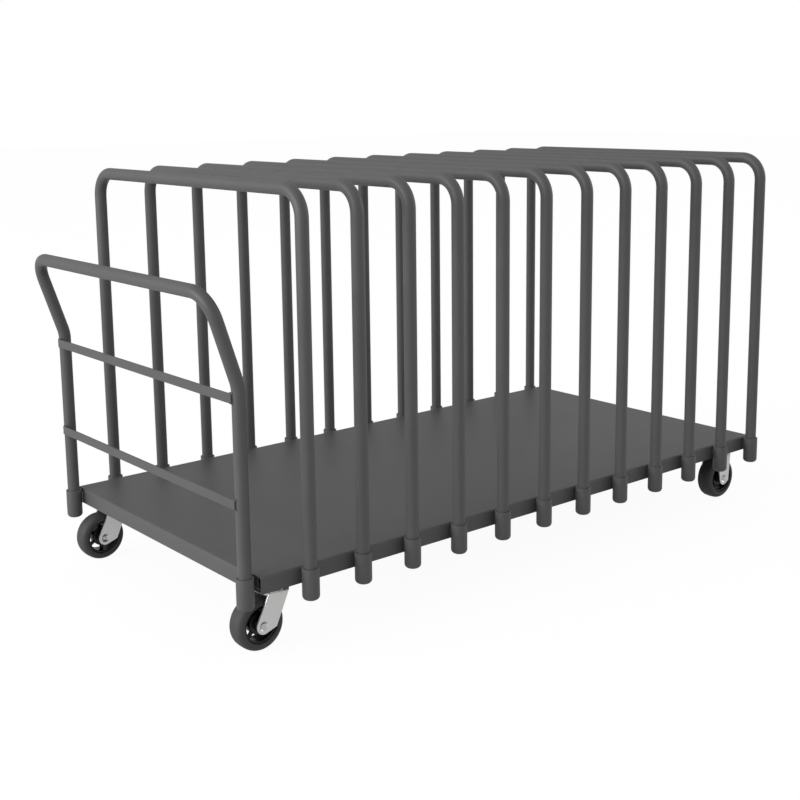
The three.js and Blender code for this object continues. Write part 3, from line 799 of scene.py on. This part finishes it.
@dataclass
class SleeveRow:
    """The round sockets welded along the deck's edges, with their weld beads."""

    radius: float = SLEEVE_RADIUS
    bore: float = 0.016675
    floor: float = 0.005
    foot_round: float = 0.0105
    foot_steps: int = 10
    lip: float = 0.0008
    lip_steps: int = 4
    sides: int = 48
    bead: WeldBead = field(default_factory=WeldBead)
    bead_sink: float = 0.0024
    bead_aside: float = 0.0092
    bead_ends: Point = (0.003, -0.007)
    seam_passes: tuple[Point, ...] = ((0.0096, 0.0030), (0.0118, 0.0022), (0.0138, 0.0030))
    seam_ends: Point = (0.002, -0.006)

    def sleeves(self, nodes: Sequence[str]) -> Surface:
        """Blind sockets, each turned about its axis: rounded foot, plain wall, softened mouth, bore.

        Args:
            nodes: the solids they stand for.

        Returns:
            The closed sockets in place.
        """
        made = []
        for node in nodes:
            low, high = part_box(node)
            foot, floor, mouth = self.foot_round, low.z + self.floor, high.z - self.lip
            profile = polyline(
                (0.0, low.z), arc((self.radius - foot, low.z + foot), foot, -90, 0, self.foot_steps),
                arc((self.radius - self.lip, mouth), self.lip, 0, 90, self.lip_steps),
                arc((self.bore + self.lip, mouth), self.lip, 90, 180, self.lip_steps),
                (self.bore, floor), (0.0, floor))
            made.append(turned(profile, self.sides).moved(socket_axis(node)))
        return Surface.joined(made)

    def upright_beads(self, spots: Sequence[Point], ends: Point) -> list[Surface]:
        """Beads at places in plan, over the deck's depth less a length at the lower and upper end."""
        low, high = (corner.z + end for corner, end in zip(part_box("deck"), ends))
        return [self.bead.surface(Vector((*spot, low)), Vector((*spot, high))) for spot in spots]

    def build(self) -> None:
        """Makes the sleeves and their welds.

        Two beads fill the grooves beside each divider sleeve, and passes side by side tie each handle
        sleeve to the end of its flange.
        """
        welds: list[Surface] = []
        for side in Side:
            nodes = [f"sleeve_{side.word}_{number:02d}" for number in DIVIDER_NUMBERS]
            piece(f"divider_sleeves_{side.word}", self.sleeves(nodes), FinishSet.COAT, "base", nodes)
            back = side.value * (self.radius - self.bead_sink)
            grooves = [(axis.x + aside, axis.y - back) for axis in map(socket_axis, nodes)
                       for aside in (-self.bead_aside, self.bead_aside)]
            welds += self.upright_beads(grooves, self.bead_ends)
        nodes = ["handle_sleeve_left", "handle_sleeve_right"]
        piece("handle_sleeves", self.sleeves(nodes), FinishSet.COAT, "base", nodes)
        end_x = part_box("deck")[0].x
        passes = [(end_x - back, axis.y - math.copysign(inward, axis.y))
                  for axis in map(socket_axis, nodes) for inward, back in self.seam_passes]
        welds += self.upright_beads(passes, self.seam_ends)
        piece("sleeve_welds", Surface.joined(welds), FinishSet.WELD, "base", crease=self.bead.crease)


@dataclass
class TubeWork:
    """The divider hoops and the push handle, bent from one size of round tube."""

    radius: float = 0.015875
    wall: float = 0.0021
    bend: float = 0.0635
    sides: int = 40
    kink_radius: float = 0.09
    reach: float = 0.069
    grip_apothem: float = 0.985
    lean_tries: int = 8
    bar_form: RoundedBar = RoundedBar(power=14.0, around=64, along=12)
    bead: WeldBead = field(default_factory=lambda: WeldBead(radius=0.0022))
    bead_half: float = 0.007
    bead_inset: float = 0.004
    bead_sink: float = 0.0004
    bead_lift: float = 0.0002

    def bent(self, half: Sequence[Triple], radii: Sequence[float]) -> Surface:
        """The tube along half a centreline and its mirror image in Y.

        Args:
            half: corners of the left half, from its foot up.
            radii: bend radii at its corners.

        Returns:
            The closed tube.
        """
        corners = np.concatenate([np.multiply(half, (1, -1, 1)), half[::-1]])
        return BentLine(corners, [*radii, *radii[::-1]]).tube(self.radius, self.wall, self.sides)

    def hoop(self, number: int) -> Surface:
        """An inverted U over the deck: two legs, two round bends and a top run.

        Args:
            number: the divider's place in the row.

        Returns:
            The closed tube.
        """
        low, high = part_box(f"divider_{number:02d}")
        x, y = (low.x + high.x) / 2, middle(f"sleeve_left_{number:02d}").y
        return self.bent([(x, y, low.z), (x, y, high.z - self.radius * SOLID_APOTHEM)], [self.bend])

    def handle(self) -> Surface:
        """The handle's tube: upright posts, a kink outwards above the upper bar, leaning corners, grip.

        The kink's corner lies kink_radius * tan(turn / 2) above its start. The turn depends on that
        corner in its turn, so both are found by repetition.

        Returns:
            The closed tube.
        """
        low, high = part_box("handle_tube")
        post = socket_axis("handle_sleeve_left")
        kink_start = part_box("handle_bar_upper")[1].z
        grip_x, grip_z = post.x - self.reach, high.z - self.radius * self.grip_apothem
        kink_z = kink_start
        for _ in range(self.lean_tries):
            turn = math.atan2(self.reach, grip_z - kink_z)
            kink_z = kink_start + self.kink_radius * math.tan(turn / 2)
        half = [(post.x, post.y, low.z), (post.x, post.y, kink_z), (grip_x, post.y, grip_z)]
        return self.bent(half, [self.kink_radius, self.bend])

    def bar(self, node: str) -> Surface:
        """A flat cross bar with softened edges, filling its solid's box."""
        low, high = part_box(node)
        return self.bar_form.surface(tuple((high - low) / 2)).moved((low + high) / 2)

    def bar_welds(self) -> Surface:
        """Short beads where the bars' upper and lower edges meet the posts.

        Returns:
            The beads.
        """
        made = []
        half = Vector((0.0, self.bead_half, 0.0))
        for node in ("handle_bar_upper", "handle_bar_lower"):
            low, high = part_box(node)
            for side in Side:
                y = side.value * (middle("handle_sleeve_left").y - self.bead_inset)
                for z in (low.z - self.bead_lift, high.z + self.bead_lift):
                    spot = Vector((high.x - self.bead_sink, y, z))
                    made.append(self.bead.surface(spot - half, spot + half))
        return Surface.joined(made)

    def build(self) -> None:
        """Makes the hoops, the handle and its bars."""
        for number in DIVIDER_NUMBERS:
            node = f"divider_{number:02d}"
            piece(f"hoop_{number:02d}", self.hoop(number), FinishSet.COAT, f"{node}_hoop", [node])
        piece("push_handle", self.handle(), FinishSet.COAT, "handle", ["handle_tube"])
        for place in ("upper", "lower"):
            node = f"handle_bar_{place}"
            piece(f"cross_bar_{place}", self.bar(node), FinishSet.COAT, "handle", [node])
        piece("cross_bar_welds", self.bar_welds(), FinishSet.WELD, "handle", crease=self.bead.crease)


@dataclass
class PressedYoke:
    """A sheet yoke: two legs and a crown folded from one strip whose edges follow the leg's outline."""

    axle: Point
    top_left: float
    top_right: float
    top_z: float
    heel: Point
    foot_radius: float = 0.019
    foot_steps: int = 27
    sheet: float = 0.004
    leg_y: float = 0.0309
    leg_steps: int = 43
    bend: float = 0.0045
    bend_steps: int = 6
    steps_across: int = 40
    outline_steps: int = 24
    dish_floor: float = 0.0064
    dish_rim: float = 0.0128
    dish_depth: float = 0.0038

    def tangent(self, point: Point, turn: int) -> float:
        """The angle in degrees at which a line from a point touches the foot's circle."""
        x, z = point[0] - self.axle[0], point[1] - self.axle[1]
        return math.degrees(math.atan2(z, x) + turn * math.acos(self.foot_radius / math.hypot(x, z)))

    def edges(self, height: Array) -> list[Array]:
        """Left and right edge of a leg at given heights.

        The left edge is the tangent from the upper left corner to the foot's circle, and the right edge
        runs from the upper right corner to the heel and from there along its tangent to the circle.

        Args:
            height: heights to evaluate.

        Returns:
            Left and right positions along X.
        """
        corners = ([(self.top_left, self.top_z)], [(self.top_right, self.top_z), self.heel])
        angles = self.tangent(corners[0][-1], 1), 360.0 + self.tangent(self.heel, -1)
        chains = [polyline(corner, arc(self.axle, self.foot_radius, angle, 270, self.outline_steps))[::-1]
                  for corner, angle in zip(corners, angles)]
        return [np.interp(height, chain[:, 1], chain[:, 0]) for chain in chains]

    def surface(self) -> Surface:
        """The strip's middle surface on a grid of (way along the U, way across the strip).

        Round the axle the legs are dished inwards by depth * (3 t^2 - 2 t^3), where t runs from 0 at the
        dish's rim to 1 at its floor.

        Returns:
            The open strip, ready for its thickness.
        """
        axle_x, axle_z = self.axle
        crown = self.top_z - self.sheet / 2
        foot = axle_z - self.foot_radius * np.cos(np.linspace(0.0, QUARTER, self.foot_steps + 1))
        leg = np.concatenate([foot, np.linspace(axle_z, crown - self.bend, self.leg_steps + 1)[1:]])
        angle = np.linspace(0.0, QUARTER, self.bend_steps + 1)[1:]
        bend_y = self.leg_y - self.bend + self.bend * np.cos(angle)
        bend_z = crown - self.bend + self.bend * np.sin(angle)
        half_y = np.concatenate([np.full(len(leg), self.leg_y), bend_y, [0.0]])
        half_z = np.concatenate([leg, bend_z, [crown]])
        y = np.concatenate([half_y, -half_y[-2::-1]])[:, None]
        z = np.concatenate([half_z, half_z[-2::-1]])[:, None]
        left, right = self.edges(z)
        x = left + (right - left) * np.linspace(0.0, 1.0, self.steps_across + 1)
        from_rim = self.dish_rim - np.hypot(x - axle_x, z - axle_z)
        step = np.clip(from_rim / (self.dish_rim - self.dish_floor), 0.0, 1.0)
        sunk = y - np.sign(y) * self.dish_depth * step**2 * (3 - 2 * step)
        return Surface.grid(np.stack([x, sunk, z + 0 * x], axis=-1))


@dataclass
class Caster:
    """What both kinds of caster share: plate, bolts, legs, axle, spoked core and tyre."""

    side: Side
    phase: float
    kind: str = ""
    plate_sheet: float = 0.005
    plate_edge: float = 0.0012
    plate_corner: float = 0.009
    screw_inset: Point = (0.0155, 0.0125)
    screw_head: Stud = Stud(0.0075, -0.0042, 0.0, 6, (0.0013, 0.0006))
    screw_shank: Stud = Stud(0.0042, -0.001, 0.0025, 16)
    leg_left: float = -0.031
    leg_right: float = 0.031
    leg_face: float = 0.0329
    leg_edge: float = 0.0009
    heel_reach: float = 0.0225
    heel_drop: float = 0.008
    wheel_radius: float = 0.0635
    wheel_width: float = 0.0508
    tyre_depth: float = 0.0185
    tyre_gap: float = 0.0002
    tyre_sides: int = 96
    tread_crown: float = 0.0006
    tread_steps: int = 12
    shoulder: float = 0.014
    shoulder_steps: int = 9
    bead_lip: tuple[Point, ...] = ((0.0, 0.0034), (0.0004, 0.0016), (0.0014, 0.0004), (0.0026, 0.0))
    rim_half: float = 0.0198
    rim_depths: Triple = (0.0070, 0.0058, 0.0046)
    rim_groove: float = 0.002
    rim_sides: int = 72
    core_round: float = 0.0012
    core_round_steps: int = 3
    hub_bore: float = 0.0064
    hub_end: Point = (0.0130, 0.0250)
    hub_collar: Point = (0.0162, 0.0195)
    disc_foot: Point = (0.0168, 0.0130)
    disc_rim: Point = (0.0258, 0.0120)
    disc_round: float = 0.0015
    hub_sides: int = 48
    spokes: int = 6
    rib_form: RoundedBar = RoundedBar(power=5.0, around=40, along=8)
    rib_half: Triple = (0.0050, 0.0100, 0.0028)
    rib_place: float = 0.0300
    shaft_radius: float = 0.0050
    head_foot: tuple[Point, ...] = ((0.0060, -0.0002), (0.0061, 0.0003))
    dome_radius: float = 0.0199
    dome_depth: float = 0.0180
    dome_start: float = 73.0
    dome_steps: int = 6
    axle_sides: int = 40

    def named(self, part: str) -> str:
        """The name of one of this caster's nodes, pieces or bodies."""
        return f"{self.kind}_{part}_{self.side.word}"

    @property
    def axle(self) -> Vector:
        """The axle's middle."""
        return middle(self.named("axle"))

    def tyre(self) -> Surface:
        """A tyre ring: bead seat, sidewalls with a moulded lip, round shoulders, slightly crowned tread.

        Returns:
            The closed ring about the axle.
        """
        inner = self.wheel_radius - self.tyre_depth + self.tyre_gap
        half, soft = self.wheel_width / 2, self.shoulder
        flat = half - soft
        tread = np.linspace(-flat, flat, self.tread_steps + 1)
        crown = self.wheel_radius - self.tread_crown * (tread / flat) ** 2
        lip = np.array(self.bead_lip) + (inner, -half)
        wall = polyline(lip, arc((crown[0] - soft, -flat), soft, -90, 0, self.shoulder_steps))
        profile = polyline(wall, np.stack([crown, tread], -1)[1:-1], mirrored(wall), lip[:1])
        return axle_turned(profile, self.tyre_sides).moved(self.axle)

    def core(self) -> Surface:
        """The wheel's core: a rim ring, a hub with a collar and a disc, and thin ribs between them.

        Each rim or hub edge is a quarter circle, and the half profile is mirrored in the wheel's middle.

        Returns:
            Rim, hub and ribs about the axle.
        """
        def edge(radius: float, half: float, soft: float, steps: int, start: float = -90.0) -> Array:
            """A rounded edge at a radius and half width."""
            return arc((radius, soft - half), soft, start, start + 90.0, steps)

        rim_out, soft, steps = self.wheel_radius - self.tyre_depth, self.core_round, self.core_round_steps
        waist, flare, lip = (rim_out - depth for depth in self.rim_depths)
        rim = polyline(
            (waist, 0.0), (flare, self.rim_groove - self.rim_half),
            edge(lip, self.rim_half, soft, steps, 180.0), edge(rim_out - soft, self.rim_half, soft, steps))
        hub = polyline(
            (self.hub_bore, -self.hub_end[1]), edge(self.hub_end[0] - soft, self.hub_end[1], soft, steps),
            (self.hub_end[0], -self.hub_collar[1]),
            edge(self.hub_collar[0] - soft, self.hub_collar[1], soft, steps),
            (self.disc_foot[0], -self.disc_foot[1]),
            edge(self.disc_rim[0] - self.disc_round, self.disc_rim[1], self.disc_round, steps + 1))
        parts = [axle_turned(polyline(rim, mirrored(rim)), self.rim_sides),
                 axle_turned(polyline(hub, mirrored(hub), hub[:1]), self.hub_sides)]
        rib = self.rib_form.surface(self.rib_half)
        for index in range(self.spokes):
            turn = TAU * index / self.spokes + math.radians(self.phase)
            out = np.array([math.sin(turn), 0.0, math.cos(turn)])
            basis = np.stack([(out[2], 0.0, -out[0]), out, (0.0, 1.0, 0.0)])
            parts.append(rib.mapped(lambda p: p @ basis + out * self.rib_place))
        return Surface.joined(parts).moved(self.axle)

    def axle_bolt(self) -> Surface:
        """The axle: a plain shaft whose low domed heads lie in the dished legs.

        Returns:
            The closed bolt about the axle.
        """
        face = self.leg_face - PressedYoke.dish_depth
        foot = np.array(self.head_foot) + (0.0, face)
        dome = arc((0.0, face - self.dome_depth), self.dome_radius, self.dome_start, 90.0, self.dome_steps)
        head = polyline((self.shaft_radius, foot[0, 1]), foot, dome)
        return axle_turned(polyline(mirrored(head), head), self.axle_sides).moved(self.axle)

    def top_plate(self, node: str) -> Surface:
        """The mounting plate, filling the upper part of its solid's box."""
        low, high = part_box(node)
        outline = rounded_rectangle((high.x - low.x) / 2, (high.y - low.y) / 2, self.plate_corner)
        flat = plate(outline, high.z - self.plate_sheet, high.z, self.plate_edge)
        return flat.moved((*middle(node).xy, 0.0))

    def screws(self, node: str) -> Surface:
        """Low hexagon heads under the plate's four corners.

        Args:
            node: the plate's solid.

        Returns:
            The bolts.
        """
        low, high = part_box(node)
        one = Surface.joined([self.screw_head.surface(), self.screw_shank.surface()])
        columns, rows = (
            (low[axis] + inset, high[axis] - inset) for axis, inset in enumerate(self.screw_inset))
        under = high.z - self.plate_sheet
        return Surface.joined([one.moved((x, y, under)) for x in columns for y in rows])

    def build_legs(self, node: str, pivot: Vector, top: float, body: str) -> None:
        """Makes the pressed legs.

        Args:
            node: the solid they stand for.
            pivot: the middle of the plate above them.
            top: height of their crown.
            body: the body they ride on.
        """
        trail = self.axle.x - pivot.x
        heel = trail + self.heel_reach, self.wheel_radius - self.heel_drop
        yoke = PressedYoke((trail, self.wheel_radius), self.leg_left, self.leg_right, top, heel)
        legs = yoke.surface().moved((pivot.x, pivot.y, 0.0))
        piece(self.named("legs"), legs, FinishSet.ZINC, body, [node], Fold(yoke.sheet, self.leg_edge))

    def build_wheel(self, carrier: str) -> None:
        """Makes the wheel, and its axle on the body that carries it."""
        wheel = self.named("wheel")
        piece(self.named("tread"), self.tyre(), FinishSet.TYRE, wheel, [self.named("tyre")])
        piece(self.named("core"), self.core(), FinishSet.HUB, wheel, [self.named("hub")])
        piece(self.named("bolt"), self.axle_bolt(), FinishSet.STEEL, carrier, [self.named("axle")])


@dataclass
class SwivelCaster(Caster):
    """A caster that turns about its kingpin: plate with ball race above, trailing yoke below."""

    kind: str = "swivel"
    leg_left: float = -0.020
    leg_right: float = 0.036
    heel_reach: float = 0.035
    crown_drop: float = 0.014
    kingpin: Stud = Stud(0.0058, -0.0145, 0.001, 24, (0.0008, 0.0007))
    nut: Stud = Stud(0.0108, -0.0122, -0.0046, 6, (0.0023, 0.0010))
    race_lift: float = 0.0004
    race_roll: Point = (0.0300, 0.0020)
    race_neck: Point = (0.0316, 0.0041)
    seal_centre: Point = (0.0312, 0.0062)
    seal_roll: float = 0.0017
    race_flare: tuple[Point, ...] = ((0.0338, -0.0056), (0.0345, -0.0048))
    crown_bore: float = 0.0068
    crown_flat: float = 0.0335
    crown_radius: float = 0.0340
    crown_sheet: float = 0.0040
    roll_steps: int = 5
    rim_steps: int = 6
    race_sides: int = 56

    def race(self, node: str) -> Surface:
        """The bearing race, kingpin and nut: turned sections about the kingpin.

        Args:
            node: the plate's solid.

        Returns:
            The parts about the kingpin.
        """
        crown = Vector((*middle(node).xy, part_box(node)[1].z - self.crown_drop))
        foot, (radius, roll) = self.race_lift, self.race_roll
        flare = np.array(self.race_flare) + (0.0, self.crown_drop)
        race = polyline(
            (0.0, foot), (radius, foot), arc((radius, foot + roll), roll, -90, 20, self.roll_steps),
            self.race_neck, arc(self.seal_centre, self.seal_roll, -60, 60, self.roll_steps),
            flare, (0.0, flare[-1, 1]))
        parts = [turned(race, self.race_sides), self.kingpin.surface(), self.nut.surface()]
        return Surface.joined(parts).moved(crown)

    def crown_ring(self, pivot: Vector, top: float) -> Surface:
        """The yoke's round crown under the race, with a rolled rim.

        Args:
            pivot: the kingpin's place.
            top: height of the crown.

        Returns:
            The closed ring.
        """
        roll = self.crown_sheet / 2
        profile = polyline(
            (self.crown_bore, -self.crown_sheet), (self.crown_flat, -self.crown_sheet),
            arc((self.crown_radius, -roll), roll, -90, 90, self.rim_steps),
            (self.crown_bore, 0.0), (self.crown_bore, -self.crown_sheet))
        return turned(profile, self.race_sides).moved((pivot.x, pivot.y, top))

    def build(self) -> None:
        """Makes the whole caster."""
        plate_node, yoke_node, body = self.named("plate"), self.named("yoke"), f"swivel_{self.side.word}"
        pivot, crown = middle(plate_node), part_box(yoke_node)[1].z
        # The plate and its screws take the darker zinc that carries painted shade.
        piece(self.named("top"), self.top_plate(plate_node), FinishSet.PLATE, "base", [plate_node])
        piece(self.named("race"), self.race(plate_node), FinishSet.STEEL, "base", [plate_node])
        piece(self.named("screws"), self.screws(plate_node), FinishSet.PLATE, "base")
        piece(self.named("crown"), self.crown_ring(pivot, crown), FinishSet.ZINC, body, [yoke_node])
        self.build_legs(yoke_node, pivot, crown, body)
        self.build_wheel(body)


@dataclass
class RigidCaster(Caster):
    """A caster that keeps its direction: the legs fold down from the plate itself."""

    phase: float = 9.0
    kind: str = "rigid"
    leg_bite: float = 0.0004

    def build(self) -> None:
        """Makes the whole caster."""
        node = self.named("frame")
        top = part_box(node)[1].z - self.plate_sheet + self.leg_bite
        # The plate and its screws take the darker zinc that carries painted shade.
        piece(self.named("top"), self.top_plate(node), FinishSet.PLATE, "base", [node])
        piece(self.named("screws"), self.screws(node), FinishSet.PLATE, "base")
        self.build_legs(node, middle(node), top, "base")
        self.build_wheel("base")


# The stage


@dataclass(frozen=True)
class Lamp:
    """A soft rectangular lamp: where it hangs, its width and height, and its watts."""

    name: str
    place: Triple
    size: Point
    power: float

    def build(self, aim: Triple) -> None:
        """Hangs the lamp so that it faces a point."""
        light = bpy.data.lights.new(self.name, "AREA")
        light.shape = "RECTANGLE"
        light.size, light.size_y = self.size
        light.energy = self.power
        thing = placed(self.name, light)
        thing.location = self.place
        thing.rotation_euler = (Vector(aim) - Vector(self.place)).to_track_quat("-Z", "Y").to_euler()


@dataclass
class Studio:
    """The pale floor, the soft lamps and the camera at the photograph's place."""

    eye: Triple = (-2.3220, -2.7343, 1.2512)
    azimuth: float = 0.6812
    down: float = 0.1742
    roll: float = -0.0135
    focal_pixels: float = 1268.7
    photo_pixels: float = 800.0
    sensor: float = 36.0
    shift: Point = (0.0132, -0.1)
    far_clip: float = 100.0
    floor_half: float = 30.0
    floor_grey: float = 0.52
    floor_glow: float = 1.08
    backdrop_shadow: float = 0.12
    mirrored_floor: float = 0.5
    surround: float = 0.58
    aim: Triple = (0.0, 0.0, 0.4)
    lamps: tuple[Lamp, ...] = (
        Lamp("left_key", (-12.4, 1.9, 4.3), (13.0, 6.0), 1470.0),
        Lamp("right_fill", (16.2, -6.3, 5.3), (14.0, 8.0), 600.0))

    def camera(self) -> None:
        """Places the camera by its direction, tilt and roll."""
        lens = bpy.data.cameras.new("camera")
        lens.sensor_width = self.sensor
        lens.lens = self.focal_pixels / self.photo_pixels * self.sensor
        lens.shift_x, lens.shift_y = self.shift
        lens.clip_end = self.far_clip
        thing = placed("camera", lens)
        aim = Matrix.Rotation(-self.azimuth, 4, "Z") @ Matrix.Rotation(QUARTER - self.down, 4, "X")
        thing.matrix_world = Matrix.Translation(self.eye) @ aim @ Matrix.Rotation(self.roll, 4, "Z")
        bpy.context.scene.camera = thing

    @staticmethod
    def _seen(sheet: NodeSheet, path: Outputs) -> Socket:
        """1 on rays that the camera sends, straight or through something clear, and 0 on others."""
        return sheet.math("MAXIMUM", path["Is Camera Ray"], path["Is Transmission Ray"])

    def floor(self) -> None:
        """A wide pale floor that shows white to the camera and keeps a faint shadow."""
        x, y = np.meshgrid(*[np.linspace(-self.floor_half, self.floor_half, 3)] * 2)
        mesh = mesh_of("floor", Surface.grid(np.stack([x, y, 0 * x], axis=-1)))
        material = bpy.data.materials.new("pale_floor")
        sheet = NodeSheet.cleared(material)
        diffuse = sheet.add("ShaderNodeBsdfDiffuse", {"Color": (*[self.floor_grey] * 3, 1.0)})
        glow = sheet.add("ShaderNodeEmission", {"Strength": self.floor_glow})
        path = sheet.add("ShaderNodeLightPath").outputs
        direct = sheet.math("MULTIPLY", self._seen(sheet, path), 1.0 - self.backdrop_shadow)
        glossy = sheet.math("MULTIPLY", path["Is Glossy Ray"], self.mirrored_floor)
        share = sheet.math("MAXIMUM", direct, glossy)
        shaders = {0: share, 1: diffuse.outputs["BSDF"], 2: glow.outputs["Emission"]}
        mix = sheet.add("ShaderNodeMixShader", shaders)
        sheet.add("ShaderNodeOutputMaterial", {"Surface": mix.outputs["Shader"]})
        mesh.materials.append(material)
        thing = placed("floor", mesh)

    def world(self) -> None:
        """An even pale surround: white to the camera, softer as light."""
        world = bpy.data.worlds.new("surround")
        bpy.context.scene.world = world
        sheet = NodeSheet.cleared(world)
        seen = self._seen(sheet, sheet.add("ShaderNodeLightPath").outputs)
        strength = sheet.ranged(seen, end=(self.surround, 1.0))
        back = sheet.add("ShaderNodeBackground", {"Color": (1.0, 1.0, 1.0, 1.0), "Strength": strength})
        sheet.add("ShaderNodeOutputWorld", {"Surface": back.outputs["Background"]})

    def build(self) -> None:
        """Sets the whole stage."""
        self.camera()
        self.floor()
        self.world()
        for lamp in self.lamps:
            lamp.build(self.aim)
        bpy.context.scene.view_settings.view_transform = "Standard"


SWIVEL_PHASES = {Side.LEFT: 57.0, Side.RIGHT: 37.0}


def main() -> None:
    """Builds the cart's assemblies in order and sets the stage."""
    logging.basicConfig(level=logging.INFO, format="%(name)s %(message)s")
    Studio().build()
    DeckTray().build()
    SleeveRow().build()
    TubeWork().build()
    for side in Side:
        SwivelCaster(side, SWIVEL_PHASES[side]).build()
        RigidCaster(side).build()


if __name__ == "__main__":
    main()
